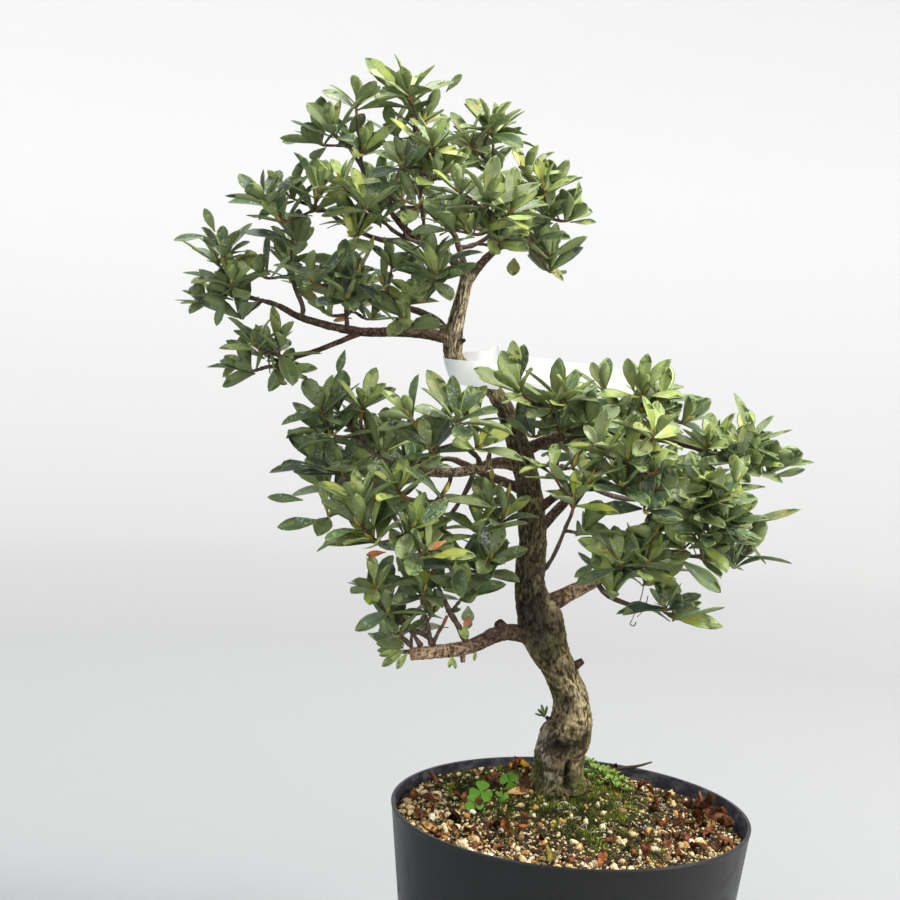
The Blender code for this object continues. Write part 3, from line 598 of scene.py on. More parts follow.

# where the trunk is darker, paler, ashen, grey or mossy: point of the frame, depth and spread in mm,
# strength.
# The dark zones are partly dark bark and partly painted shade: on the left of the upper trunk, in the
# hollows and in the crevice at the foot. The pale zones are partly pale bark and partly painted light on
# the lit right side of the lower trunk; the ashen zones are pale flakes with painted light on the right of
# the upper trunk and on the tops of the lower left boughs.
barkZones = {
    "dark": [
        (526, 612, 14, 8, 0.95), (536, 618, 14, 6, 0.8), (541, 600, 14, 5, 0.7), (537, 634, 13, 6, 0.6),
        (524, 566, 13, 11, 0.5), (521, 525, 14, 12, 0.4), (520, 485, 13, 12, 0.5), (520, 445, 14, 11, 0.5),
        (505, 412, 17, 8, 0.6), (567, 668, 17, 2.6, 0.7), (566, 701, 17, 3.6, 0.95), (558, 748, 18, 4.5, 1),
        (575, 747, 18, 3.6, 1), (585, 737, 19.5, 2.6, 1), (549, 690, 20, 4, 0.6), (560, 716, 17, 2.5, 0.5),
        (545, 648, 14, 6, 0.7), (560, 628, 14, 7, 0.6), (533, 780, 20, 5, 0.5), (445, 348, 17, 5, 0.5),
        (452, 292, 16, 3.2, 0.8), (451, 306, 17, 3.2, 0.8), (447, 321, 18, 3.2, 0.8),
        (463, 341, 19, 2.5, 1), (496, 627, 12, 5, 0.8), (567, 772, 18.5, 2.2, 1), (567, 786, 18.9, 2.2, 1),
        (550, 655, 13, 4, 0.4),
    ],
    "pale": [
        (573, 682, 18, 5, 0.9), (582, 702, 19, 5, 1), (588, 720, 20, 4, 0.8), (575, 722, 17, 4, 0.6),
        (562, 730, 17, 3, 0.5), (566, 657, 16, 4, 0.5), (535, 500, 14, 3, 0.5), (536, 545, 14, 3, 0.4),
        (530, 465, 14, 2.5, 0.5), (486, 392, 18, 5, 0.6), (551, 603, 15, 3, 0.9), (545, 775, 19, 3, 0.5),
        (580, 768, 20, 2.5, 0.5), (572, 595, 20, 6, 0.8), (584, 588, 20, 7, 0.7), (410, 652, -3, 9, 0.85),
        (435, 650, -2, 9, 0.8), (460, 647, 1, 8, 0.6),
    ],
    "ashen": [(461, 303, 17, 6, 0.9), (458, 325, 18, 5.5, 0.9), (465, 285, 16, 5, 0.7),
              (455, 347, 18, 5, 0.7), (480, 469, 1, 9, 0.9), (452, 474, -1, 9, 0.8),
              (505, 464, 12, 7, 0.8)],
    "grey": [(538, 758, 21, 5, 0.9), (545, 742, 20, 5, 0.7), (549, 780, 19, 5, 0.7),
             (538, 745, 24, 5, 0.6)],
    "moss": [(533, 778, 20, 6, 1.3), (531, 764, 24, 5.5, 1.3), (588, 776, 22, 5, 1.1),
             (578, 790, 19, 5, 0.9), (571, 754, 18, 2.2, 0.9), (579, 742, 18, 2.2, 0.7),
             (552, 697, 18, 4, 0.4), (545, 655, 14, 6, 0.4), (560, 640, 14, 6, 0.3),
             (556, 790, 19, 4, 0.7)],
}


def zoneAmounts(points):
    # how much of each zone reaches each place: a sum of bells about the zones' middles
    amounts = {}
    for kind, listed in barkZones.items():
        total = np.zeros(points.shape[:-1])
        for x, y, depth, spread, strength in listed:
            away = awayFrom(points, placeAtDepth((x, y), depth * mm))
            total += strength * bell(away, spread * mm)
        amounts[kind] = np.clip(total, 0, 1)
    return amounts


def trunkPoints(route):
    # rings with root lobes and bark, pushed out by bells at the knobs and at the boughs' collars, pushed in
    # at the hollows and the crevice, and rippled by a sine at the wrinkles
    sides = trunk["sides"]
    places, radii = route[:, :3], route[:, 3]
    over = places[:, 2:] - trunk["ground"]
    fade = np.exp(-over / trunk["rootLobeFade"])
    lobes = 1 + trunk["rootLobeDepth"] * fade * np.cos(trunk["rootLobes"] * angles(sides))
    depth, swells, shade = barkRelief(route, sides, 1.0 * mm, 21)
    amount = np.clip(radii / (7 * mm), 0.45, 1.2)[:, None]
    points = ringsAlong(places, radii, sides, lobes, (depth * 0.9 + swells * 0.5) * amount)
    outward = unit(points - places[:, None])
    push = np.zeros(points.shape[:2])
    forms = knobs + [(place, width, -deep) for place, width, deep in hollows]
    for parent, startRadius, _, way in boughs.values():
        if parent == "trunk":
            collar = 0.55 * np.array(way[0]) + 0.45 * np.array(way[1])
            forms.append((collar, 1.5 * startRadius, 0.5 * startRadius))
    for place, width, height in forms:
        push += height * mm * bell(awayFrom(points, np.array(place) * mm), width * mm)
    ripple = np.sin((points[..., 2] + 0.3 * points[..., 0]) * fullTurn / (wrinkles["spacing"] * mm))
    away = awayFrom(points, np.array(wrinkles["place"]) * mm)
    push += wrinkles["height"] * mm * ripple * bell(away, wrinkles["width"] * mm)
    aside = awayFrom(points[..., :2], np.array(crevice["place"]) * mm)
    high = np.clip((crevice["top"] * mm - points[..., 2]) / (crevice["fade"] * mm), 0, 1)
    cut = bell(aside, crevice["width"] * mm) * high
    points = points + outward * (push - cut * crevice["depth"] * mm)[..., None]
    # the relief values that set the colour are raised on the knobs and collars as painted light and lowered
    # in the hollows and the crevice as painted shade
    return points, {"relief": np.clip(shade + push / (9 * mm) - cut, 0, 1), **zoneAmounts(points)}


mossyBark = {}     # places on the lower trunk where moss may grow, filled in by makeTrunk


def makeTrunk(materials):
    route = evenRoute(limbRoute("trunk"), trunk["spacing"])
    points, values = trunkPoints(route)
    low = route[:, 2] < trunk["mossTop"]
    mossyBark["outward"] = unit(points - route[:, None, :3])[low].reshape(-1, 3)
    mossyBark["root"] = points[low].reshape(-1, 3)
    mossyBark["amount"] = values["moss"][low].ravel()
    groups = [(part, 0) for part in tubeFaces(len(route), trunk["sides"])]
    buildPiece("trunkBark", points, groups, materials, ["trunk"], values)


sawnBough = "low_bough_left"       # its end shows the cut wood


def stubRoute(root, way, length, radius):
    # a short tapering path that starts inside its limb and bends as a sine
    way = unit(way)
    t = np.linspace(-0.5, 1, 14)[:, None]
    bend = 0.1 * np.sin(2.0 * t) * np.array([way[1], -way[0], 0.3])
    return np.column_stack([np.array(root) + (way * t + bend) * length, radius * (1 - 0.35 * t[:, 0])]) * mm


def makeBoughs(materials):
    # each bough starts inside its parent with a collar, 1 + exp(-distance / thickness), and has finer bark
    # than the trunk; the stubs join them
    tubes = []         # route, sides, size of the bark's plates, seed, collar, 1 where the end is sawn
    for number, name in enumerate(boughs):
        route = evenRoute(limbRoute(name), 0.7 * mm)
        thick = route[:, 3].mean()
        sides = 44 if thick > 2.4 * mm else 30
        size = min(1.0, thick / (5 * mm)) * mm
        tubes.append((route, sides, size, 40 + 5 * number, 0.35, int(name == sawnBough)))
    for number, stub in enumerate(stubs):
        tubes.append((stubRoute(*stub), 20, 0.45 * mm, 140 + 5 * number, 0.0, 0))
    groups, points, shades = [], [], []
    total = 0
    for route, sides, size, seed, collar, sawn in tubes:
        depth, swells, shade = barkRelief(route, sides, size, seed)
        swell = (1 + collar * np.exp(-runOf(route) / (2.2 * route[0, 3])))[:, None]
        tube = ringsAlong(route[:, :3], route[:, 3], sides, swell, depth * 0.75 + swells * 0.4)
        quads, foot, head = tubeFaces(len(route), sides)
        lastRows = np.repeat(np.arange(len(route) - 1) > len(route) - 1 - 3 * sawn, sides)
        groups += [(quads + total, lastRows * sawn), (foot + total, 0), (head + total, sawn)]
        points.append(tube.reshape(-1, 3))
        shades.append(shade.ravel())
        total += len(route) * sides
    points = np.vstack(points)
    values = {"relief": np.clip(np.concatenate(shades), 0, 1), **zoneAmounts(points)}
    buildPiece("boughBark", points, groups, materials, list(boughs), values)


# leaves

leaf = {"length": 23.0 * mm, "width": 9.3 * mm, "petiole": 0.1, "keel": 0.4 * mm, "groove": 0.16 * mm,
        "fullness": 0.72, "ribWidth": 0.2, "waves": 7.5,
        "rows": (0.0, 0.15, 0.35, 0.56, 0.76, 0.92), "columns": (-1.0, -0.84, -0.05, 0.05, 0.84, 1.0)}

# tones of the upper side from deep to bright, and the autumn one last; besides the leaves' own greens the
# deep ones serve as painted shade on low and inner leaves and the brighter ones as painted light on high
# and front ones
leafTones = [(0.041, 0.062, 0.047), (0.068, 0.112, 0.05), (0.145, 0.18, 0.08), (0.23, 0.29, 0.076),
             (0.31, 0.41, 0.07), (0.36, 0.11, 0.05)]


def leafFinish(name, colour):
    # mottled, with broad yellow patches and pale specks where two noises are both high; the specks are
    # partly water residue and partly a painted sheen that stands for the sky's reflection
    paint = Finish(name, Specular_IOR_Level=0.42)
    mottle = paint.noise(5 * mm, 3.0)
    body = paint.mix(mottle.step(0.35, 0.7) * 0.6, colour, scaled(colour, 1.7))
    yellow = paint.noise(13 * mm, 1.0).step(0.5, 0.72) * 0.5
    red, green, blue = colour
    body = paint.mix(yellow, body, (red * 2.4, green * 1.65, blue * 0.6))
    # pale specks: partly residue, partly painted reflection of the sky
    speckSheen = paint.noise(1.1 * mm, 3.0).step(0.5, 0.64) * paint.noise(9 * mm, 1.0).step(0.46, 0.64)
    paint.use("Base Color", paint.mix(speckSheen * 0.7, body, (0.44, 0.48, 0.4)))
    paint.use("Roughness", paint.noise(3 * mm, 2.0) * 0.25 + 0.26)
    paint.bump(paint.noise(1.3 * mm, 2.0), 0.15 * mm, 0.5)
    return paint.material


def plainLeafFinish(name, colour, roughness):
    paint = Finish(name, Roughness=roughness, Specular_IOR_Level=0.15)
    mottle = paint.noise(2 * mm, 3.0)
    paint.use("Base Color", paint.mix(mottle, colour, scaled(colour, 0.72)))
    return paint.material


def deadLeafFinish(name, colour):
    # brown with dark blotches
    paint = Finish(name, Roughness=0.7, Specular_IOR_Level=0.12)
    blotch = paint.noise(2.6 * mm, 4.0).step(0.38, 0.62)
    paint.use("Base Color", paint.mix(blotch, scaled(colour, 0.4), scaled(colour, 1.25)))
    paint.bump(paint.noise(1.2 * mm, 3.0), 0.5 * mm, 0.9)
    return paint.material


def leafFaces():
    # five strips over the top (edges outside, the rib in the middle), two under, and a closed foot, with
    # the number of corners of a leaf
    columns, rows = len(leaf["columns"]), len(leaf["rows"])
    stride = columns + 1
    last = (rows - 1) * stride
    tip = rows * stride
    top, rib, under = [], [], []
    for r in range(rows - 1):
        a, b = r * stride, (r + 1) * stride
        for c in range(columns - 1):
            (top if c in (1, 3) else rib).append((a + c, a + c + 1, b + c + 1, b + c))
        under.append((a + columns - 1, a + columns, b + columns, b + columns - 1))
        under.append((a + columns, a, b, b + columns))
    topTips = [(last + c, last + c + 1, tip) for c in range(columns - 1)]
    underTips = [(last + columns - 1, last + columns, tip), (last + columns, last, tip)]
    foot = [tuple(range(columns, -1, -1))]
    return [np.array(part) for part in (top, rib, under, topTips, underTips, foot)], tip + 1


def leafPoints(leaves):
    # obovate blades: half width = sin(pi t^widest)^fullness along t, carried on an arc that bends away from
    # the normal, folded up along the rib, with a groove over the rib, a keel under it and waved edges
    t = np.array(leaf["rows"])[None, :, None]
    s = np.array(leaf["columns"])[None, None, :]
    keys = ("length", "width", "widest", "bend", "fold", "wave", "phase")
    length, width, widest, bend, fold, wave, phase = (leaves[key][:, None, None] for key in keys)
    swell = np.maximum(np.sin(math.pi * t ** widest) ** leaf["fullness"], leaf["petiole"])
    turn = bend * t
    bow = np.where(np.abs(bend) < 1e-3, 1e-3, bend)
    alongWay = length * np.sin(bow * t) / bow
    alongNormal = -length * (1 - np.cos(bow * t)) / bow
    rib = np.abs(s) < leaf["ribWidth"]
    sideways = s * swell * width / 2 * np.where(rib, np.minimum(1, 1.25 - t), 1)
    lift = fold * np.abs(sideways) - leaf["groove"] * rib
    lift = lift + wave * np.abs(s) ** 2 * np.sin(leaf["waves"] * t + phase) * swell
    way, normal, across = (leaves[key][:, None, None, :] for key in ("way", "normal", "across"))
    upright = normal * np.cos(turn)[..., None] + way * np.sin(turn)[..., None]
    root = leaves["root"][:, None, None, :]
    spine = root + way * alongWay[..., None] + normal * alongNormal[..., None]
    blade = spine + across * sideways[..., None] + upright * lift[..., None]
    keel = spine - upright * (leaf["keel"] * (1.15 - t))[..., None]
    tip = root[:, :, 0] + way[:, :, 0] * (length * np.sin(bow) / bow)
    tip = tip - normal[:, :, 0] * (length * (1 - np.cos(bow)) / bow)
    body = np.concatenate([blade, keel], axis=2).reshape(len(leaves["root"]), -1, 3)
    return np.concatenate([body, tip], axis=1)


def leafGroups(tones, rib, under, foot):
    # the faces of many leaves with their material numbers: a leaf's own tone over its top
    parts, stride = leafFaces()
    groups = []
    for part, number in zip(parts, (tones, rib, under, tones, under, foot)):
        numbers = np.repeat(number, len(part)) if np.ndim(number) else number
        groups.append((repeated(part, len(tones), stride), numbers))
    return groups, stride


def bladesOf(count, root, way, normal, rng, length, width, **shape):
    # the arrays that leafPoints reads, for blades with given roots and directions
    way = unit(way)
    normal = unit(normal - way * dot(way, normal))
    values = {"root": root, "way": way, "normal": normal, "across": np.cross(way, normal), "length": length,
              "width": width, "widest": 1.3, "bend": 0.3, "fold": 0.2, "wave": 0.0, "tone": 0,
              "phase": rng.uniform(0, 6.28, count), **shape}
    return {key: value if np.ndim(value) else np.full(count, value) for key, value in values.items()}


# twigs and sprays

growth = {
    "seed": 11, "reachSlack": 1.06, "clearance": 0.6 * mm,
    "twigRows": 10, "twigSides": 6, "stemRadii": (1.35, 0.9), "twigRadii": (0.85, 0.62),
    "stemDrop": 0.35, "stemStop": 0.3, "stemLeave": 0.3, "stemArrive": 0.25, "stemRise": 0.5,
    "shootInset": 15 * mm, "shootLevel": -0.3, "shootRise": 0.35,
    "moreShoots": 2.8,             # finer twigs for each main shoot of the solids
    "tipParting": 11.0 * mm,       # tips stand at least this far apart
    "stemForks": (4, 6, 8, 9), "twigForks": (3, 5, 7),       # the rows that a twig may fork from
    "forkCost": 0.3, "turnCost": 6 * mm,
    "twigLeave": 0.3, "twigArrive": 0.34, "arriveOut": 0.55, "arriveUp": 0.8, "arriveOn": 0.35,
    "along": 0.4, "out": 0.38, "up": 0.85,
}

# tone and leaf size of each region, and how much a spray's tone rises with height, in front and by chance;
# the rise with height and in front, and the crown's higher tone, are painted light on the lit top and front
regionTones = {"crown": 1.8, "left": 1.25, "low_left": 1.25, "low_right": 1.3}
leafSizes = {"crown": 0.84, "left": 0.86, "low_left": 0.96, "low_right": 0.94}
toneChange = {"height": 0.7, "front": 0.35, "chance": 0.75}

# tips of the front sprays, as points of the frame: crown and upper left, lower left, lower right
frontTips = [
    (409, 90), (357, 100), (331, 131), (363, 148), (433, 144), (491, 124), (470, 142), (402, 164),
    (438, 176), (486, 200), (543, 186), (549, 214), (528, 236), (447, 225), (321, 190), (368, 206),
    (263, 199), (293, 234), (223, 250), (232, 281), (262, 276), (312, 279), (357, 274), (347, 298),
    (383, 284), (436, 278), (374, 318), (403, 316), (253, 342), (280, 347), (458, 190), (512, 210),
    (470, 232), (500, 240), (340, 180), (525, 172), (420, 203), (370, 247), (392, 262), (352, 236),
    (363, 404), (320, 409), (410, 415), (458, 417), (312, 460), (341, 468), (330, 514), (359, 500),
    (413, 526), (478, 526), (490, 558), (428, 556), (375, 584), (466, 593), (424, 590), (435, 611),
    (413, 631), (385, 450), (430, 450), (480, 447), (398, 488), (445, 492), (372, 540), (455, 562),
    (360, 525), (492, 478), (508, 494), (488, 503), (505, 516), (519, 390), (553, 402), (567, 398),
    (603, 388), (642, 390), (664, 396), (685, 421), (628, 459), (706, 447), (739, 459), (756, 466),
    (574, 499), (622, 486), (697, 486), (691, 510), (714, 500), (730, 520), (715, 530), (735, 484),
    (680, 549), (620, 562), (647, 564), (707, 560), (612, 598), (664, 606), (590, 422), (620, 420),
    (655, 432), (600, 450), (660, 470), (645, 512), (655, 535), (592, 478), (702, 540), (558, 456),
    (575, 464), (552, 470),
]
brightTips = [(574, 499), (647, 564), (438, 178), (318, 413)]

# openings through which the sky shows: middle in the frame and radius
skyGaps = [
    (540, 360, 7), (545, 373, 6), (571, 363, 6), (560, 374, 4), (600, 366, 5), (618, 370, 8), (622, 384, 6),
    (325, 236, 15), (450, 306, 8), (415, 312, 8), (305, 306, 8), (290, 520, 14), (272, 512, 10),
    (300, 537, 8), (268, 488, 8), (358, 602, 11), (348, 618, 10), (368, 642, 10), (778, 545, 14),
    (766, 570, 12), (692, 370, 10), (440, 104, 6), (508, 160, 8), (485, 275, 8), (575, 268, 10),
    (418, 193, 5), (394, 210, 5), (399, 243, 5), (388, 275, 5), (500, 590, 17), (563, 520, 14),
    (560, 555, 16), (378, 447, 4), (395, 440, 4), (575, 590, 10), (350, 555, 8), (590, 548, 6),
    (728, 475, 4), (640, 505, 5), (520, 275, 10), (706, 634, 6),
]


def limbAt(route, part):
    # place, direction and half thickness at a part of a limb's length
    run = runOf(route)
    row = np.array([np.interp(part * run[-1], run, column) for column in route.T])
    k = min(np.searchsorted(run, part * run[-1], side="right"), len(route) - 1)
    return row[:3], unit(route[k, :3] - route[k - 1, :3]), row[3]


def curve(a, b, c, d, rows):
    # cubic Bezier curve from a to d
    t = np.linspace(0, 1, rows)[:, None]
    return (1 - t) ** 3 * a + 3 * (1 - t) ** 2 * t * b + 3 * (1 - t) * t ** 2 * c + t ** 3 * d


def stemRoute(name):
    # a stem leaves its limb squarely, or goes on from the limb's tip, and rises into the mass; its first
    # row lies inside the limb
    limb, part, centre, reach, _ = masses[name]
    centre, reach = np.array(centre) * mm, np.array(reach) * mm
    place, way, radius = limbAt(limbRoutes[limb], part)
    hub = centre - up * growth["stemDrop"] * reach[2]
    if part == 1.0:
        leave, start = way, place
    else:
        towards = hub - place
        leave = unit(towards - way * np.dot(towards, way))
        start = place + leave * radius
    hub = hub + growth["stemStop"] * (start - hub)
    length = np.linalg.norm(hub - start)
    second = start + leave * growth["stemLeave"] * length
    third = hub - (unit(hub - start) + growth["stemRise"] * up) * growth["stemArrive"] * length
    rows = curve(start, second, third, hub, growth["twigRows"] - 1)
    return np.vstack([start - leave * min(radius, 1.5 * mm), rows])


def shootEnds(centre, reach, count, rng):
    # a golden-angle spiral round the mass's middle, inset so that the leaves end at its reach
    inner = np.maximum(reach - growth["shootInset"], 0.3 * reach)
    k = np.arange(count)
    ring = np.sqrt((k + 0.5) / count)
    angle = rng.uniform(0, fullTurn) + k * goldenAngle
    level = growth["shootLevel"] + growth["shootRise"] * (1 - 2 * ring) + rng.uniform(-0.25, 0.35, count)
    away = inner * ring[:, None] * np.column_stack([circle(angle), 0 * angle])
    return centre + away * rng.uniform(0.9, 1.1, (count, 1)) + up * (level * reach[2])[:, None]


def nearness(places, centres, reaches):
    # distance of each place to each mass, measured in the mass's reaches
    return np.linalg.norm((places[..., None, :] - centres) / reaches, axis=-1)


def settleTips(names, centres, reaches):
    # each tip of the front goes to the mass that it lies nearest to, on that mass's near side
    settled = {name: [] for name in names}
    front = [k for k, name in enumerate(names) if "back" not in name]
    for point in frontTips:
        places = np.array([placeAtDepth(point, centres[k][1] - 0.4 * reaches[k][1]) for k in front])
        away = np.linalg.norm((places - centres[front]) / reaches[front] * [1, 0.2, 1], axis=1)
        nearest = np.argmin(away)
        k = front[nearest]
        across = (places[nearest] - centres[k]) / reaches[k]
        room = math.sqrt(max(0.0, 1 - across[0] ** 2 - across[2] ** 2))
        depth = centres[k][1] - reaches[k][1] * room * 0.55
        settled[names[k]].append((placeAtDepth(point, depth), point in brightTips))
    return settled


def outOfGaps(end):
    # whether a tip is seen clear of every sky gap
    seen = frameOf(end[0])
    return all(np.hypot(*(seen - (x, y))) > radius + 3 for x, y, radius in skyGaps)


def forksOf(twig, rows):
    # place, direction and half thickness at some rows of a twig
    return [(twig[k, :3], unit(twig[k, :3] - twig[k - 1, :3]), twig[k, 3]) for k in rows]


def growMass(name, index, centre, reach, tips, limbRows, rng):
    # a stem, and twigs that fork from it or from each other, one to each tip, by the shortest way that
    # turns least; a tip in a sky gap gets none
    stem = stemRoute(name)
    twigs = [np.column_stack([stem, np.linspace(*growth["stemRadii"], growth["twigRows"]) * mm])]
    forks = forksOf(twigs[0], growth["stemForks"])
    ends = [(place, bright, True) for place, bright in tips]
    count = max(2, round(masses[name][4] * growth["moreShoots"]) - len(tips) // 3)
    for place in shootEnds(centre, reach, count, rng):
        if all(np.linalg.norm(place - other[0]) > growth["tipParting"] for other in ends):
            ends.append((place, False, False))
    ends = sorted(filter(outOfGaps, ends), key=lambda end: np.linalg.norm(end[0] - stem[-1]))
    sprays = []
    for end, bright, front in ends:
        costs = [np.linalg.norm(end - fork) + growth["forkCost"] * np.linalg.norm(fork - stem[0])
                 - growth["turnCost"] * np.dot(way, unit(end - fork)) for fork, way, _ in forks]
        fork, way, radius = forks[int(np.argmin(costs))]
        span = np.linalg.norm(end - fork)
        outward = unit(end - centre + 0.1 * mm * up)
        onward = unit(end - fork)
        arrive = growth["arriveOut"] * outward + growth["arriveUp"] * up + growth["arriveOn"] * onward
        second = fork + unit(0.6 * way + onward) * growth["twigLeave"] * span
        third = end - unit(arrive) * growth["twigArrive"] * span
        path = curve(fork, second, third, end, growth["twigRows"])
        if not front and not clearOfLimbs(path[4:], limbRows).all():
            continue
        thick = min(radius, growth["twigRadii"][0] * mm)
        radii = np.linspace(thick, growth["twigRadii"][1] * mm, growth["twigRows"])
        twigs.append(np.column_stack([path, radii]))
        forks += forksOf(twigs[-1], growth["twigForks"])
        forward = unit(path[-1] - path[-2])
        axis = unit(growth["along"] * forward + growth["out"] * outward + growth["up"] * up)
        sprays.append({"tip": end, "forward": forward, "axis": axis, "bright": bright, "front": front,
                       "index": index})
    return twigs, sprays


def clearOfLimbs(places, limbRows):
    # which places stand clear of every limb
    away = np.linalg.norm(places[:, None, :] - limbRows[None, :, :3], axis=2)
    return np.all(away > limbRows[:, 3] + growth["clearance"], axis=1)


# the leaves of a spray: angles in radians, and the ranges that each leaf's measures are drawn from
whorl = {"leaves": 8, "lean": 1.26, "standUp": 0.88, "leanChance": 0.14, "spinChance": 0.16,
         "rollChance": 0.28, "facing": 0.25, "stagger": 4.2 * mm, "fromAxis": 0.45 * mm,
         "spraySize": (0.82, 1.16), "size": (0.86, 1.12), "smaller": 0.36, "breadth": (0.85, 1.12),
         "widest": (1.25, 1.7), "bend": (-0.2, 0.45), "fold": (0.08, 0.45), "wave": (0, 0.3)}


def sprayLeaves(spray, rng):
    # leaves in a golden-angle whorl: the oldest lean far out, the youngest stand up and are smaller
    count = int(whorl["leaves"] + rng.integers(-1, 2))
    low = int(rng.integers(0, 2))
    k = np.arange(count + low)
    young = np.clip((k - low) / (count - 1), -0.35, 1)
    axis = spray["axis"]
    side = unit(np.cross(axis, [0.2, 0.9, 0.4]))
    square = np.cross(axis, side)
    azimuth = rng.uniform(0, fullTurn) + k * goldenAngle + rng.normal(0, whorl["spinChance"], len(k))
    out = np.cos(azimuth)[:, None] * side + np.sin(azimuth)[:, None] * square
    lean = whorl["lean"] - whorl["standUp"] * np.clip(young, 0, 1) ** 1.2
    lean = lean + rng.normal(0, whorl["leanChance"], len(k)) - 0.8 * np.minimum(young, 0)
    way = unit(axis * np.cos(lean)[:, None] + out * np.sin(lean)[:, None])
    facing = axis + whorl["facing"] * up
    level = unit(facing - way * dot(way, facing))
    aside = np.cross(way, level)
    roll = rng.normal(0, whorl["rollChance"], (len(k), 1))
    normal = level * np.cos(roll) + aside * np.sin(roll)
    across = aside * np.cos(roll) - level * np.sin(roll)
    size = spray["size"] * rng.uniform(*whorl["spraySize"]) * rng.uniform(*whorl["size"], len(k))
    size = size * (1.0 - whorl["smaller"] * np.clip(young, 0, 1) ** 2.6)
    tone = spray["tone"] + (young > 0.7) + rng.choice([-1, 0, 0, 1], len(k))
    return {
        "root": spray["tip"] - spray["forward"] * ((1 - young) * whorl["stagger"])[:, None]
                + out * whorl["fromAxis"],
        "way": way, "normal": normal, "across": across,
        "length": leaf["length"] * size,
        "width": leaf["width"] * size ** 0.8 * rng.uniform(*whorl["breadth"], len(k)),
        "widest": rng.uniform(*whorl["widest"], len(k)),
        "bend": rng.uniform(*whorl["bend"], len(k)) + 0.15 * (1 - young),
        "fold": rng.uniform(*whorl["fold"], len(k)),
        "wave": rng.uniform(*whorl["wave"], len(k)) * mm,
        "phase": rng.uniform(0, 6.28, len(k)),
        "tone": np.clip(tone, 0, 3 + spray["bright"]),
        "index": np.full(len(k), spray["index"]),
        "front": np.full(len(k), spray["front"]),
    }


def keptLeaves(leaves, centres, reaches, limbRows):
    # drops the leaves that leave their mass's space or the part's box, cut a limb or close a sky gap, each
    # tried at three places along it
    along = leaves["way"] * leaves["length"][:, None]
    samples = leaves["root"][:, None] + along[:, None] * np.array([0.35, 0.7, 1.0])[:, None]
    far = nearness(samples[:, 1:], centres, reaches)
    own = np.take_along_axis(far, leaves["index"][:, None, None], axis=2)[..., 0]
    others = far.min(axis=2)
    front = leaves["front"][:, None]
    keep = np.all((own < np.where(front, 1.5, 1.12)) & (own <= others + np.where(front, 0.6, 0.3)), axis=1)
    low, high = np.array(cadBox[0]) - 3 * mm, np.array(cadBox[1]) + 3 * mm
    keep &= np.all((samples > low) & (samples < high), axis=(1, 2))
    shares = np.array_split(samples.reshape(-1, 3), 40)
    clear = np.concatenate([clearOfLimbs(share, limbRows) for share in shares])
    keep &= clear.reshape(len(keep), -1).all(axis=1)
    seen = frameOf(samples)
    for x, y, radius in skyGaps:
        keep &= np.all(np.linalg.norm(seen - (x, y), axis=-1) > radius, axis=1)
    return {key: value[keep] for key, value in leaves.items()}


# single leaves that stand out at the edges, by region: root and tip in the frame, depth in mm, tone, and
# for broad or narrow ones the width as a part of the length
loneLeaves = {
    "crown": [(541, 259, 563, 282, 30, 2), (514, 258, 513, 276, 24, 2, 0.75), (357, 210, 357, 229, 16, 1),
              (405, 98, 365, 58, 16, 3), (446, 92, 462, 74, 18, 2), (570, 222, 597, 222, 24, 3),
              (500, 143, 522, 127, 20, 2), (300, 142, 282, 141, 14, 1)],
    "left": [(225, 300, 216, 326, 14, 1), (250, 350, 222, 377, 12, 2), (293, 357, 267, 391, 10, 1),
             (345, 350, 338, 373, 10, 1), (205, 236, 173, 238, 16, 1), (215, 232, 204, 208, 16, 2),
             (318, 286, 298, 296, 14, 5), (352, 318, 333, 320, 12, 5)],
    "low_left": [
        (451, 411, 428, 369, -14, 2), (464, 412, 486, 385, -12, 3), (466, 593, 496, 564, -14, 1),
        (462, 594, 451, 576, -15, 1), (457, 594, 435, 577, -13, 0), (430, 612, 402, 613, -8, 0),
        (421, 632, 425, 612, -5, 0), (458, 625, 468, 639, -3, 3, 0.6), (428, 617, 408, 631, -6, 1),
        (427, 616, 440, 604, -7, 0), (429, 615, 421, 597, -7, 2), (445, 612, 461, 609, -9, 1),
        (462, 598, 505, 581, -22, 1), (468, 616, 468, 629, -9, 5, 0.75), (404, 650, 379, 656, -4, 3),
        (404, 648, 376, 643, 0, 2), (404, 650, 389, 664, -6, 3), (402, 651, 382, 667, 2, 2),
        (403, 647, 383, 635, 0, 2), (408, 652, 396, 669, -8, 3), (402, 648, 377, 651, 4, 1),
        (404, 646, 393, 630, 4, 3), (452, 656, 449, 668, -4, 4), (452, 656, 456, 669, 0, 3),
        (476, 650, 474, 661, 2, 3), (545, 717, 538, 709, 24, 1, 0.24), (545, 717, 541, 704, 23, 2, 0.24),
        (545, 717, 547, 706, 24, 1, 0.24), (545, 717, 535, 713, 25, 1, 0.24), (390, 611, 354, 630, -12, 1),
        (468, 606, 468, 624, -8, 2, 0.75), (303, 500, 267, 498, -2, 1), (322, 520, 277, 528, -4, 1),
        (446, 541, 428, 549, -50, 5), (386, 552, 366, 556, -40, 5),
    ],
    "low_right": [
        (756, 466, 815, 461, 16, 2, 0.17), (739, 526, 801, 508, 12, 2, 0.17),
        (738, 530, 768, 564, 14, 1, 0.09), (566, 404, 568, 390, 8, 5), (556, 402, 560, 357, 14, 2),
        (634, 392, 627, 358, 16, 2), (640, 392, 646, 362, 18, 1), (664, 613, 724, 625, 2, 3),
        (680, 560, 722, 592, 6, 1), (597, 563, 574, 577, 12, 1), (668, 610, 650, 588, 4, 1),
        (517, 380, 513, 340, 14, 2), (520, 380, 524, 344, 20, 1), (562, 393, 578, 372, 14, 1),
    ],
}


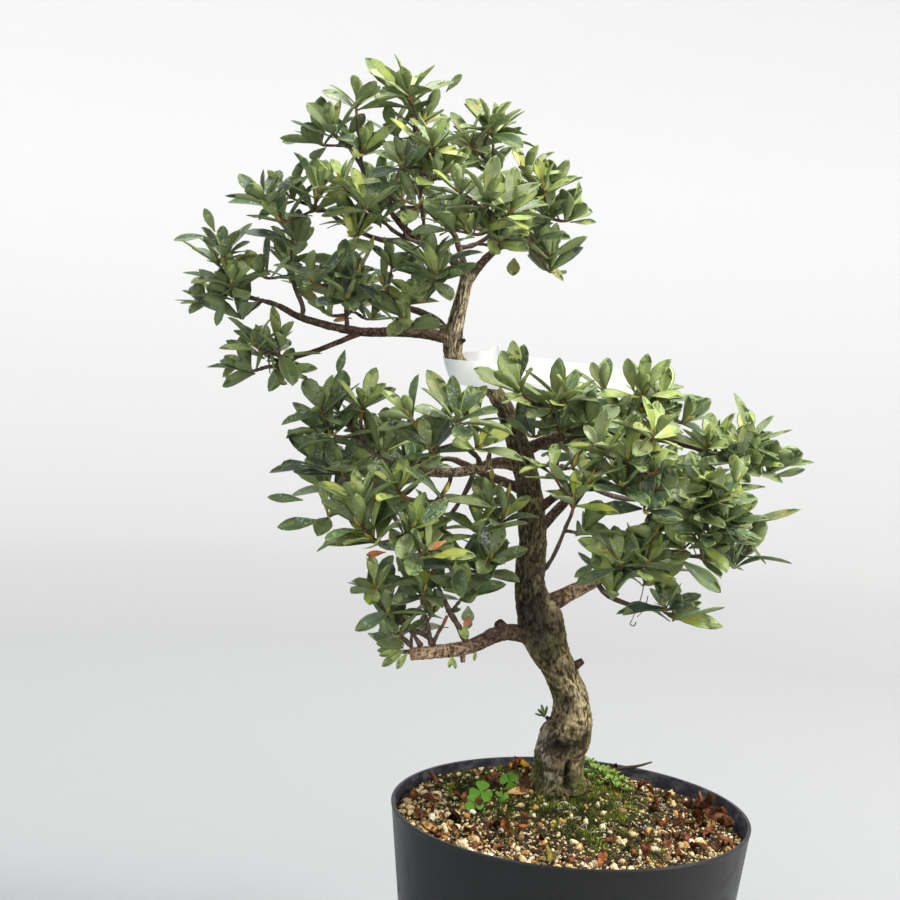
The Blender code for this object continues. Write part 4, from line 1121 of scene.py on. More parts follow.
# extra shoots of a region: places in the frame, depths in mm, half thickness in mm at both ends
extraShoots = {
    "low_left": [
        ([(466, 641), (459, 627), (451, 614), (444, 600)], [0, -3, -8, -11], (1.7, 1.2)),
        ([(431, 644), (429, 634), (428, 625), (426, 616)], [-2, -4, -6, -7], (1.3, 0.8)),
        ([(433, 644), (438, 633), (443, 625), (447, 616)], [-2, -4, -7, -9], (1.0, 0.7)),
        ([(421, 646), (405, 622), (396, 610), (389, 601)], [-2, -3, -3, -4], (1.2, 0.7)),
        ([(411, 646), (403, 638), (395, 631), (389, 625)], [-2, -3, -2, -1], (1.2, 0.9)),
        ([(451, 614), (455, 607), (460, 601), (466, 594)], [-8, -10, -12, -14], (1.0, 0.6)),
        ([(444, 600), (440, 591), (437, 582), (434, 572)], [-11, -12, -13, -14], (1.1, 0.7)),
    ],
    "low_right": [([(644, 584), (641, 598), (636, 610), (632, 620)], [6, 5, 4, 4], (0.28, 0.18)),
                  ([(632, 620), (630, 624), (634, 626), (636, 622)], [4, 4, 4, 4], (0.18, 0.3)),
                  ([(648, 596), (646, 604), (642, 612), (637, 617)], [3, 3, 3, 3], (0.25, 0.18))],
}


def shootRows(places, depths, radii):
    route = smoothRoute(placeAtDepth(np.array(places), np.array(depths) * mm), 8)
    rows = growth["twigRows"]
    return np.column_stack([fewerRows(route, rows), np.linspace(*radii, rows) * mm])


def lonePieces(region, rng):
    # the single leaves of a region, each with its own length from root to tip
    chosen = loneLeaves[region]
    count = len(chosen)
    rows = np.array([row[:6] for row in chosen])
    depth = rows[:, 4] * mm
    root = placeAtDepth(rows[:, :2], depth)
    onward = placeAtDepth(rows[:, 2:4], depth - 2 * mm) - root
    length = np.linalg.norm(onward, axis=1)
    ratio = np.array([row[6] if len(row) > 6 else 0.38 for row in chosen])
    upright = 0.8 * up + rng.normal(0, 0.2, (count, 3)) - [0, 0.9, 0]
    return bladesOf(count, root, onward, upright, rng, length, np.clip(length * ratio, 1.2 * mm, 8.8 * mm),
                    widest=rng.uniform(1.25, 1.6, count), bend=rng.uniform(-0.1, 0.25, count),
                    fold=rng.uniform(0.1, 0.35, count), wave=rng.uniform(0, 0.3, count) * mm,
                    tone=rows[:, 5], index=0, front=True)


def joined(many):
    return {key: np.concatenate([one[key] for one in many]) for key in many[0]}


def budPoints(sprays, rng):
    # a pointed bud in the middle of each spray: rings of radius sin(pi t^0.8) along its axis
    tips = np.array([spray["tip"] for spray in sprays])
    axes = unit(np.array([0.5 * spray["axis"] + 0.5 * spray["forward"] for spray in sprays]))
    size = rng.uniform(0.8, 1.3, len(sprays))
    t = np.linspace(0, 1, 6)
    places = tips[:, None] + axes[:, None] * ((t[None] * 5.2 - 1.0) * size[:, None] * mm)[..., None]
    radii = np.maximum(0.12, np.sin(math.pi * np.clip(t, 0, 1) ** 0.8)) * 0.95 * mm * size[:, None]
    return ringsAlong(places, radii, 6)


def makeTwigs(name, twigs, sprays, materials, replaced, rng):
    # all twigs of a region as one mesh, their last rows in the colour of young wood, and the buds
    paths = np.array(twigs)
    rows, sides = growth["twigRows"], growth["twigSides"]
    wobble = 1 + 0.12 * rng.normal(size=(len(paths), rows, 1))
    points = ringsAlong(paths[..., :3], paths[..., 3], sides, wobble)
    walls, feet, heads = tubesOf(len(paths), rows, sides)
    young = (np.repeat(np.arange(rows - 1), sides) >= rows - 4).astype(int)
    isTwig = (paths[:, 0, 3] < 1.2 * mm).astype(int)
    groups = [(walls, (isTwig[:, None] * young[None]).ravel()), (feet, 0), (heads, 1)]
    buds = budPoints(sprays, rng)
    groups += [(part, 2) for part in tubesOf(*buds.shape[:3], len(paths) * rows * sides)]
    corners = np.vstack([points.reshape(-1, 3), buds.reshape(-1, 3)])
    buildPiece(name, corners, groups, materials, replaced)


def makeFoliage(leafMaterials, twigMaterials):
    # the masses of each region in turn: twigs and sprays, the sprays' tones, leaves, and both as pieces
    names = list(masses)
    centres = np.array([masses[name][2] for name in names]) * mm
    reaches = np.array([masses[name][3] for name in names]) * mm * growth["reachSlack"]
    tips = settleTips(names, centres, reaches)
    limbRows = np.vstack([evenRoute(route, 1.2 * mm) for route in limbRoutes.values()])
    regions = {"crown": [], "left": [], "low_left": [], "low_right": []}
    for name in names:
        regions[max((key for key in regions if name.startswith(key)), key=len)].append(name)
    total = 0
    for number, (region, members) in enumerate(regions.items()):
        rng = np.random.default_rng([growth["seed"], 100 + number])
        twigs, sprays = [], []
        for name in members:
            index = names.index(name)
            found = growMass(name, index, centres[index], reaches[index], tips[name], limbRows, rng)
            twigs += found[0]
            sprays += found[1]
        for spray in sprays:
            index = spray["index"]
            # the tone rises with the spray's height in its mass and at the front: painted light on the lit
            # top and front
            height = (spray["tip"][2] - centres[index][2]) / reaches[index][2]
            spray["size"] = leafSizes[region]
            tone = regionTones[region] + toneChange["height"] * height
            tone += toneChange["front"] * spray["front"]
            tone += rng.normal(0, toneChange["chance"])
            spray["tone"] = 3 if spray["bright"] else int(np.clip(round(tone), 0, 3))
        leaves = joined([sprayLeaves(spray, rng) for spray in sprays])
        leaves = joined([keptLeaves(leaves, centres, reaches, limbRows), lonePieces(region, rng)])
        twigs += [shootRows(*row) for row in extraShoots.get(region, [])]
        title = "".join(word.title() if k else word for k, word in enumerate(region.split("_")))
        rib, under = len(leafTones), len(leafTones) + 1
        groups, _ = leafGroups(leaves["tone"], rib, under, rib)
        buildPiece(title + "Leaves", leafPoints(leaves), groups, leafMaterials, members)
        makeTwigs(title + "Twigs", twigs, sprays, twigMaterials, members, rng)
        total += len(leaves["tone"])
    print("foliage:", total, "leaves")


def twigFinish(name, colours, roughness):
    paint = Finish(name, Roughness=roughness)
    grain = paint.noise(1.6 * mm, 4.0, (1, 1, 0.5))
    paint.use("Base Color", paint.ramp(grain, [(0.3, colours[0]), (0.55, colours[1]), (0.75, colours[2])]))
    paint.bump(grain, 0.25 * mm, 0.8)
    return paint.material


# pot, soil and what lies on it

pot = {
    "sides": 192, "height": 135 * mm, "foot": 63 * mm, "top": 79.5 * mm, "wall": 1.4 * mm,
    "floor": 2.0 * mm, "lip": 1.6 * mm, "lipOut": 0.15 * mm, "uneven": 0.25 * mm,
    "edgeAngle": math.radians(32),
    "holes": 6, "holeRadius": 5 * mm, "holeCircle": 44 * mm, "holeSides": 28,
    # radius and height of the underside, and heights of the wall's rings outside and inside, in mm
    "under": [(0.0, 0.7), (30.0, 0.7), (55.0, 0.5), (58.5, 0.05), (60.5, 0.0), (62.2, 0.0), (62.85, 0.35)],
    "outside": (1.2, 10, 25, 45, 65, 85, 105, 120, 128, 132),
    "inside": (134.9, 134.3, 131, 120, 100, 75, 50, 25, 6),
}


def insideFinish():
    # the same plastic with a film of dust and lime over it; the plastic is painted lighter and bluer than
    # outside, as painted light on the inner wall that lies in shade
    paint = Finish("potInside", Roughness=0.8, Specular_IOR_Level=0.2)
    film = paint.noise(9 * mm, 5.0, (1, 1, 2.0), 0.65).step(0.4, 0.75)
    paint.use("Base Color", paint.mix(film, (0.035, 0.036, 0.05), (0.17, 0.17, 0.185)))
    return paint.material


def potFinish():
    # black plastic, scuffed and streaked, with dust that gathers towards the rim
    paint = Finish("potPlastic", Specular_IOR_Level=0.32)
    height = paint.add("SeparateXYZ", {}, {0: paint.objectPlace()}, 2)
    upper = height.step(100 * mm, 134 * mm)
    scuff = paint.noise(16 * mm, 5.0, (1, 1, 1.6), 0.6, 0.8).step(0.5, 0.75)
    streak = paint.noise(5 * mm, 4.0, (1, 1, 0.12)).step(0.55, 0.75)
    base = paint.mix(scuff * 0.5, (0.008, 0.0085, 0.0095), (0.016, 0.017, 0.019))
    dust = paint.noise(3 * mm, 5.0, roughness=0.7).step(0.6, 0.78) * (0.35 + upper * 0.5)
    paint.use("Base Color", paint.mix(dust * 0.25, base, (0.07, 0.07, 0.066)))
    paint.use("Roughness", scuff * 0.14 + streak * 0.08 + 0.4)
    paint.bump(paint.noise(2.2 * mm, 4.0) + streak * 0.3, 0.12 * mm, 0.35)
    return paint.material


def potWall(height):
    # outer radius at a height
    return pot["foot"] + (pot["top"] - pot["foot"]) * height / pot["height"]


def makePot(materials):
    # the profile from the middle of the underside, up the wall, over the lip and down inside, turned about
    # the upright; two sines put the rim slightly out of round
    high, wall, floor, sides = pot["height"], pot["wall"], pot["floor"], pot["sides"]
    profile = [(r * mm, z * mm) for r, z in pot["under"]]
    profile += [(potWall(z), z) for z in np.array(pot["outside"]) * mm]
    rim, lip = potWall(high) + pot["lipOut"], high - pot["lip"]
    profile += [(rim - 0.3 * mm, lip), (rim - 0.08 * mm, lip + 0.5 * mm), (rim, high - 0.6 * mm),
                (rim - 0.2 * mm, high - 0.12 * mm), (rim - 0.6 * mm, high)]
    profile += [(potWall(z) - wall, z) for z in np.array(pot["inside"]) * mm]
    corner = potWall(0) - wall
    profile += [(corner - 1.2 * mm, floor + 0.6 * mm), (corner - 3 * mm, floor), (40 * mm, floor),
                (0.0, floor)]
    profile = np.array(profile)
    reach, level = profile[1:-1, :1], profile[1:-1, 1:]
    a = angles(sides)
    uneven = pot["uneven"] * (np.sin(2 * a + 0.6) + 0.6 * np.sin(3 * a + 2.0))
    walls = ringsAt(reach + uneven * (level / high), level, a)
    poles = [[0, 0, profile[0, 1]], [0, 0, profile[-1, 1]]]
    quads, under, over = turnedFaces(len(walls), sides)
    inside = np.arange(len(walls) - 1) >= len(walls) - 3 - len(pot["inside"])
    groups = [(quads, np.repeat(inside, sides).astype(int)), (under, 0), (over, 1)]
    points = np.vstack([walls.reshape(-1, 3), poles])
    body = buildPiece("potBody", points, groups, materials, ["pot"])
    cutDrains(body)
    body.data.set_sharp_from_angle(angle=pot["edgeAngle"])


def cutDrains(body):
    # holes through the floor, cut by a mesh of upright posts
    holes, sides = pot["holes"], pot["holeSides"]
    turn = angles(holes) + math.pi / holes
    post = ringsAt(np.full((2, 1), pot["holeRadius"]), np.array([[-5.0], [9.0]]) * mm, angles(sides))
    middles = np.column_stack([pot["holeCircle"] * circle(turn), 0 * turn])
    posts = middles[:, None, None] + post
    groups = [(part, 0) for part in tubesOf(holes, 2, sides)]
    cutter = meshObject("drainPosts", posts, groups, [])
    cut = body.modifiers.new("drains", "BOOLEAN")
    cut.operation, cut.solver, cut.object = "DIFFERENCE", "EXACT", cutter
    mesh = bpy.data.meshes.new_from_object(body.evaluated_get(bpy.context.evaluated_depsgraph_get()))
    body.modifiers.clear()
    body.data = mesh
    bpy.data.objects.remove(cutter)


soil = {"seat": 134.3 * mm, "low": 130.0 * mm, "floor": 2.3 * mm, "middle": (-2 * mm, 30 * mm),
        "inset": 1.9 * mm, "dip": 2.5 * mm, "rows": 125, "sides": 340,
        "levels": (110, 60, 20, 2.3),                        # heights of the rings under the top, in mm
        "lumps": [(9.0, 0.55), (3.4, 0.5), (1.7, 0.5)]}      # width and height of lumps, in mm


def fromTrunk(x, y):
    return np.hypot(x - soil["middle"][0], y - soil["middle"][1])


def soilHeight(x, y):
    # highest at the foot of the trunk, sloping to the wall, lower on the back right
    away = fromTrunk(x, y)
    part = np.clip((away - 19 * mm) / (61 * mm), 0, 1)
    dip = soil["dip"] * np.maximum(0, x + y) / (80 * mm) * part
    return soil["seat"] - (soil["seat"] - soil["low"]) * part - dip


def soilTop(x, y):
    # the slope with noise of three widths on it
    flat = np.stack([x, y, 0 * x], -1) / mm
    rough = sum(high * lumps(flat / wide, 301 + k) for k, (wide, high) in enumerate(soil["lumps"]))
    return soilHeight(x, y) + rough * mm - 0.5 * mm


def soilFinish():
    # dark crumbs with pale grains, redder in patches and green where the moss value is high; darkest where
    # the crumbs' bump is lowest, partly the soil's own dark crumbs and partly painted shade between them
    paint = Finish("soil", Roughness=0.95, Specular_IOR_Level=0.2)
    crumbs = paint.noise(1.4 * mm, 5.0, roughness=0.65)
    tint = paint.noise(7 * mm, 2.0)
    # darkest at the bump's low places: partly dark soil, partly painted shade
    earth = paint.ramp(crumbs, [(0.36, (0.006, 0.004, 0.003)), (0.5, (0.02, 0.013, 0.008)),
                                (0.6, (0.095, 0.062, 0.034)), (0.7, (0.33, 0.25, 0.14))])
    redder = paint.mix(crumbs.step(0.35, 0.7), (0.01, 0.005, 0.003), (0.14, 0.06, 0.022))
    earth = paint.mix(tint.step(0.45, 0.7) * 0.6, earth, redder)
    green = paint.mix(crumbs.step(0.38, 0.68), (0.008, 0.009, 0.003), (0.075, 0.085, 0.014))
    paint.use("Base Color", paint.mix(paint.attribute("moss"), earth, green))
    paint.bump(crumbs, 1.0 * mm, 1.0)
    return paint.material


def makeSoil(material):
    # a closed body: the lumpy top as rings from the middle to the wall, then down the wall to the floor
    sides, a = soil["sides"], angles(soil["sides"])
    reach = potWall(soil["low"]) - soil["inset"]
    top = ringsAt(reach * np.linspace(0, 1, soil["rows"] + 1)[1:, None], 0, a).copy()
    top[..., 2] = soilTop(top[..., 0], top[..., 1])
    level = np.array(soil["levels"])[:, None] * mm
    body = np.concatenate([top, ringsAt(potWall(level) - soil["inset"], level, a)])
    poles = [[0, 0, float(soilTop(np.zeros(1), np.zeros(1))[0])], [0, 0, soil["floor"]]]
    points = np.vstack([body.reshape(-1, 3), poles])
    groups = [(part, 0) for part in turnedFaces(len(body), sides, True)]
    green = np.clip(mossAmount(*points[:, :2].T) * 0.9, 0, 1)
    buildPiece("soilBody", points, groups, [material], ["soil"], {"moss": green})


# number of grains, half width in mm, how often the ball is subdivided, and the share of each colour
grit = [(520, (0.9, 1.8), 2, [0.28, 0.28, 0.14, 0.1, 0.08, 0.06, 0.06]),
        (6200, (0.3, 0.85), 1, [0.2, 0.17, 0.13, 0.12, 0.17, 0.17, 0.04])]

# where grit lies thick: direction and half width in radians, power of the radius, and how thick
gritBanks = [(math.radians(215), 0.75, 2, 0.85), (math.radians(275), 0.6, 4, 0.5),
             (math.radians(340), 0.5, 2, 0.25)]
gritColours = [(0.66, 0.5, 0.25), (0.84, 0.7, 0.42), (0.52, 0.27, 0.08), (0.26, 0.17, 0.08),
               (0.1, 0.05, 0.025), (0.025, 0.016, 0.011), (0.92, 0.85, 0.68)]


def ball(levels):
    # corners and triangles of a subdivided icosahedron
    mesh = bmesh.new()
    bmesh.ops.create_icosphere(mesh, subdivisions=levels, radius=1)
    corners = np.array([vertex.co[:] for vertex in mesh.verts])
    faces = np.array([[vertex.index for vertex in face.verts] for face in mesh.faces])
    mesh.free()
    return corners, faces


def turns(count, rng):
    # random rotations as matrices, from random unit quaternions
    w, x, y, z = unit(rng.normal(size=(count, 4))).T
    return np.stack([np.stack([1 - 2 * (y * y + z * z), 2 * (x * y - z * w), 2 * (x * z + y * w)], -1),
                     np.stack([2 * (x * y + z * w), 1 - 2 * (x * x + z * z), 2 * (y * z - x * w)], -1),
                     np.stack([2 * (x * z - y * w), 2 * (y * z + x * w), 1 - 2 * (x * x + y * y)], -1)], -2)


def gritPlaces(count, rng):
    # places on the soil: dense in the banks along the rim, thin round the trunk
    wanted = []
    reach = potWall(soil["low"]) - soil["inset"] - 1.5 * mm
    while len(wanted) < count:
        radius = reach * math.sqrt(rng.uniform())
        angle = rng.uniform(0, fullTurn)
        x, y = radius * math.cos(angle), radius * math.sin(angle)
        chance = 0.16 - 0.12 * (fromTrunk(x, y) < 17 * mm)
        for towards, spread, power, thick in gritBanks:
            chance += thick * bell(angle - towards, spread) * (radius / reach) ** power
        if rng.uniform() < chance:
            wanted.append((x, y))
    return np.array(wanted)


def makeGrit(materials):
    # balls stretched at random and knocked out of round by the noise, turned, and sunk a little in the soil
    rng = np.random.default_rng(401)
    points, groups, total = [], [], 0
    for count, size, levels, odds in grit:
        corners, faces = ball(levels)
        flat = gritPlaces(count, rng)
        radius = rng.uniform(*size, count) * mm * rng.choice([1, 1, 0.7], count)
        shape = corners[None] * rng.uniform(0.5, 1.3, (count, 1, 3))
        knock = lumps(corners[None] * 1.3 + rng.uniform(0, 30, (count, 1, 3)), 402)
        shape = shape * (1 + 0.42 * knock[..., None])
        shape = np.einsum("nij,nkj->nki", turns(count, rng), shape) * radius[:, None, None]
        middle = np.column_stack([flat, soilTop(*flat.T) + radius * 0.3])
        points.append((shape + middle[:, None]).reshape(-1, 3))
        colour = rng.choice(len(gritColours), count, p=odds)
        groups.append((repeated(faces, count, len(corners)) + total, np.repeat(colour, len(faces))))
        total += count * len(corners)
    buildPiece("grit", np.vstack(points), groups, materials, ["soil"])


def gritFinish(number, colour):
    paint = Finish(f"grit{number}", Roughness=0.9, Specular_IOR_Level=0.15)
    pores = paint.noise(0.8 * mm, 4.0)
    paint.use("Base Color", paint.ramp(pores, [(0.32, scaled(colour, 0.42)), (0.52, colour)]))
    paint.bump(pores, 0.4 * mm, 0.8)
    return paint.material


# moss, fallen leaves, weeds and fibres on the soil

# moss patches as points of the frame: middle, half width, half height, thickness of growth
mossPatches = [
    (470, 784, 28, 12, 1.5), (502, 812, 34, 16, 0.8), (545, 800, 30, 14, 0.7), (530, 778, 26, 10, 1.0),
    (596, 786, 26, 12, 0.8), (588, 838, 26, 14, 1.1), (625, 822, 34, 18, 0.75), (565, 820, 30, 14, 0.8),
    (648, 850, 30, 12, 0.6), (500, 838, 26, 8, 0.5), (448, 800, 16, 10, 0.5), (690, 806, 16, 8, 0.4),
    (540, 765, 40, 6, 0.7), (612, 804, 34, 12, 0.7),
]


moss = {"spikes": 24000, "tries": 130000, "onBark": 5000, "length": (0.7, 2.5), "radius": 0.22 * mm,
        "sink": 0.3 * mm, "toneSteps": [-0.25, 0.3, 0.75],
        "tones": [(0.02, 0.026, 0.006), (0.055, 0.07, 0.01), (0.12, 0.15, 0.016), (0.26, 0.32, 0.03)]}


def mossAmount(x, y):
    # how thickly moss grows at places on the soil: a bell for each patch and for a ring round the trunk,
    # broken up by the noise
    seen = frameOf(np.stack([x, y, soilHeight(x, y)], -1))
    amount = 0.6 * bell(fromTrunk(x, y) - 15 * mm, 8 * mm)
    for left, top, wide, high, thick in mossPatches:
        away = np.hypot((seen[..., 0] - left) / wide, (seen[..., 1] - top) / high)
        amount = amount + thick * bell(away, 1)
    flat = np.stack([x, y, 0 * x], -1) / mm
    broken = 0.45 * lumps(flat / 4.2, 311) + 0.5 * lumps(flat / 1.9, 312)
    return np.clip(amount + broken, 0, 1.2)


def makeMoss(materials):
    # three-sided spikes, upright on the soil and leaning out where they climb the foot of the trunk
    rng = np.random.default_rng(421)
    reach = potWall(soil["low"]) - soil["inset"] - 2 * mm
    radius = reach * np.sqrt(rng.uniform(size=moss["tries"]))
    flat = radius[:, None] * circle(rng.uniform(0, fullTurn, moss["tries"]))
    amount = mossAmount(*flat.T)
    chosen = np.flatnonzero(rng.uniform(0.25, 1.15, len(flat)) < amount)[:moss["spikes"]]
    flat, amount = flat[chosen], amount[chosen]
    root = np.column_stack([flat, soilTop(*flat.T) - moss["sink"]])
    lean = np.column_stack([rng.normal(0, 0.55, flat.shape), np.ones(len(flat))])
    green = mossyBark["amount"] - rng.uniform(0.2, 1.0, len(mossyBark["amount"]))
    climbing = rng.permutation(np.flatnonzero(green > 0))[:moss["onBark"]]
    outward = mossyBark["outward"][climbing]
    root = np.vstack([root, mossyBark["root"][climbing] - outward * moss["sink"]])
    lean = unit(np.vstack([lean, outward + 0.5 * up + rng.normal(0, 0.4, outward.shape)]))
    amount = np.concatenate([amount, np.full(len(climbing), 0.4)])
    count = len(root)
    length = rng.uniform(*moss["length"], count) * (0.5 + 0.7 * amount) * mm
    rim = np.column_stack([circle(angles(3)), np.zeros(3)]) * moss["radius"]
    rim = rim[None] * rng.uniform(0.7, 1.5, (count, 1, 1))
    points = np.concatenate([root[:, None] + rim, (root + lean * length[:, None])[:, None]], 1)
    faces = np.array([(0, 1, 3), (1, 2, 3), (2, 0, 3), (2, 1, 0)])
    patch = lumps(root * [1, 1, 0] / (6 * mm), 423) + rng.normal(0, 0.5, count)
    tone = np.digitize(patch, moss["toneSteps"])
    buildPiece("moss", points, [(repeated(faces, count, 4), np.repeat(tone, 4))], materials,
               ["soil"])


# fallen leaves that stand out: point of the frame, length in mm, tone; more are strewn over the soil
fallenLeaves = [
    (707, 802, 19, 0), (722, 813, 17, 1), (736, 823, 15, 0), (701, 820, 17, 2), (716, 799, 15, 0),
    (651, 796, 13, 1), (665, 801, 13, 0), (640, 791, 12, 0), (613, 771, 13, 0), (690, 837, 14, 1),
    (676, 839, 15, 0), (660, 829, 10, 2), (700, 846, 13, 1), (728, 837, 14, 1), (718, 843, 12, 0),
    (640, 852, 12, 1), (600, 861, 11, 2), (572, 858, 11, 0), (553, 859, 19, 4), (518, 800, 16, 3),
    (452, 818, 17, 0), (434, 783, 14, 1), (429, 803, 12, 0), (421, 814, 12, 0), (428, 832, 15, 3),
    (441, 836, 12, 2), (470, 832, 11, 1), (491, 827, 12, 0), (585, 800, 9, 1), (561, 801, 9, 0),
    (640, 840, 10, 0), (545, 795, 8, 0), (497, 788, 13, 2), (480, 812, 10, 1), (680, 822, 12, 0),
    (708, 830, 12, 1), (734, 812, 15, 2), (660, 812, 11, 1), (525, 820, 9, 0), (610, 842, 9, 1),
    (450, 846, 9, 2), (416, 802, 10, 1), (687, 808, 13, 0), (630, 830, 8, 0), (498, 845, 9, 0),
    (540, 841, 9, 0), (515, 769, 13, 5), (522, 771, 11, 5),
]
strewn = {"count": 34, "round": (-1.1, 4.4), "reach": (0.45, 0.9), "length": (5, 10)}
fallenTones = [(0.065, 0.024, 0.013), (0.15, 0.046, 0.018), (0.3, 0.1, 0.03), (0.46, 0.29, 0.11),
               (0.2, 0.19, 0.03), (0.62, 0.33, 0.035)]


def makeFallen(materials):
    # curled and folded blades that lie about on the soil
    rng = np.random.default_rng(431)
    listed = np.array(fallenLeaves, float)
    extra = strewn["count"]
    turn = rng.uniform(*strewn["round"], extra)
    radius = potWall(soil["low"]) * rng.uniform(*strewn["reach"], extra)
    seen = placeAtHeight(listed[:, :2], 132 * mm)[:, :2]
    far = np.hypot(*seen.T) / (potWall(soil["low"]) - 5 * mm)
    flat = np.vstack([seen / np.maximum(1, far)[:, None], radius[:, None] * circle(turn)])
    count = len(flat)
    length = np.concatenate([listed[:, 2] * 0.8, rng.uniform(*strewn["length"], extra)]) * mm
    tone = np.concatenate([listed[:, 3], rng.choice(4, extra)]).astype(int)
    heading = rng.uniform(0, fullTurn, count)
    way = np.column_stack([circle(heading), rng.uniform(-0.1, 0.55, count)])
    normal = np.column_stack([rng.normal(0, 0.45, (count, 2)), rng.choice([1.0, 1.0, -1.0], count)])
    root = np.column_stack([flat, soilTop(*flat.T) + rng.uniform(0.8, 2.4, count) * mm])
    root = root - unit(way) * length[:, None] * [0.5, 0.5, 0.25]
    blades = bladesOf(count, root, way, normal, rng, length, length * rng.uniform(0.38, 0.62, count),
                      bend=rng.uniform(-2.0, 2.2, count), fold=rng.uniform(0.2, 1.4, count),
                      wave=rng.uniform(0.5, 1.6, count) * mm, widest=rng.uniform(0.9, 1.4, count),
                      tone=tone)
    rib, under = len(fallenTones), len(fallenTones) + 1
    groups, _ = leafGroups(blades["tone"], rib, under, rib)
    points = keptOnSoil(leafPoints(blades))
    buildPiece("fallenLeaves", points, groups, materials, ["soil"])


def keptOnSoil(points):
    # whole leaves are moved inwards from the wall and lifted until they only just dip into the soil
    reach = potWall(soil["low"]) - 3.5 * mm
    away = np.hypot(points[..., 0], points[..., 1]).max(axis=1)
    middle = points.mean(axis=1)
    inwards = unit(middle * [1, 1, 0]) * np.maximum(0, away - reach)[:, None]
    points = points - inwards[:, None]
    under = soilHeight(points[..., 0], points[..., 1]) - points[..., 2]
    return points + up * np.maximum(0, under.max(axis=1) - 0.8 * mm)[:, None, None]


# clover and small herbs: point of the frame, number of blades, blade length in mm, height in mm
clovers = [(483, 790, 3, 5.6, 5.5), (474, 801, 3, 4.6, 3.5), (511, 782, 3, 4.8, 4.0),
           (501, 797, 3, 2.8, 2.0)]
herbs = [(588, 764, 10, 6.2, 4.5), (597, 771, 11, 7.0, 4.5), (604, 778, 11, 7.0, 3.5),
         (612, 784, 10, 6.6, 3.0), (619, 789, 10, 5.8, 2.0), (594, 781, 9, 5.0, 1.5),
         (606, 770, 9, 5.4, 5.0), (621, 780, 9, 5.2, 2.5), (628, 791, 8, 4.6, 1.5), (585, 776, 9, 4.8, 2.0),
         (611, 775, 9, 5.2, 4.0), (600, 787, 9, 4.6, 1.5)]


def makeWeeds(materials):
    # each weed is a stalk of three rows with a whorl of blades: three broad ones level with each other on
    # the clover, more and narrower ones in a golden-angle spiral on the herbs
    rng = np.random.default_rng(441)
    many, stalks = [], []
    for x, y, count, length, height in clovers + herbs:
        isClover = count == 3
        foot = placeAtHeight((x, y), 132.5 * mm + height * mm) - up * height * mm
        foot[2] = soilTop(foot[:1], foot[1:2])[0]
        head = foot + up * height * mm + np.append(rng.normal(0, 0.6, 2), 0) * mm
        angle = rng.uniform(0, 6.28) + np.arange(count) * (fullTurn / 3 if isClover else goldenAngle)
        rise = rng.uniform(0.05, 0.25, count) if isClover else np.linspace(0.3, 2.2, count)
        way = np.column_stack([circle(angle), rise])
        size, broad, widest, facing = length * np.linspace(1, 0.6, count), 0.36, 1.2, up
        if isClover:                     # it faces the front and the light
            way = way * [1, 0.6, 0] + up * (way[:, 1:2] * 0.8)
            size, broad, widest, facing = np.full(count, length), 1.2, 1.5, np.array([0, -0.8, 0.6])
        many.append(bladesOf(count, np.tile(head, (count, 1)), way, np.tile(facing, (count, 1)), rng,
                             size * mm, size * broad * mm, tone=int(not isClover), widest=widest,
                             bend=0.2, fold=0.15))
        middle = foot * 0.5 + head * 0.5 + 0.3 * mm * rng.normal(size=3)
        stalks.append(np.vstack([foot - up * mm, middle, head]))
    blades = joined(many)
    points = leafPoints(blades)
    tones, under = blades["tone"], 2
    groups, stride = leafGroups(tones, tones, under, under)
    paths, sides = np.array(stalks), 5
    tubes = ringsAlong(paths, np.full(paths.shape[:2], 0.28 * mm), sides)
    groups += [(part, 0) for part in tubesOf(len(paths), 3, sides, len(points) * stride)]
    corners = np.vstack([points.reshape(-1, 3), tubes.reshape(-1, 3)])
    buildPiece("weeds", corners, groups, materials, ["soil"])


# the stick leans on the rim at the back: points of the frame, heights and half thickness in mm; fibres lie
# between two corners of the frame, most of the pale ones close together
fibres = {"pale": 60, "dark": 60, "rows": 12, "sides": 5, "half": (0.13, 0.3),
          "close": ((555, 786), (668, 832)), "anywhere": ((430, 785), (715, 855)),
          "stick": [(588, 776), (604, 771), (622, 768), (638, 766), (652, 762)],
          "stickLevels": (132.6, 134.2, 135.1, 136.0, 138.2), "stickThick": (0.7, 0.8, 0.9, 0.7, 0.4)}


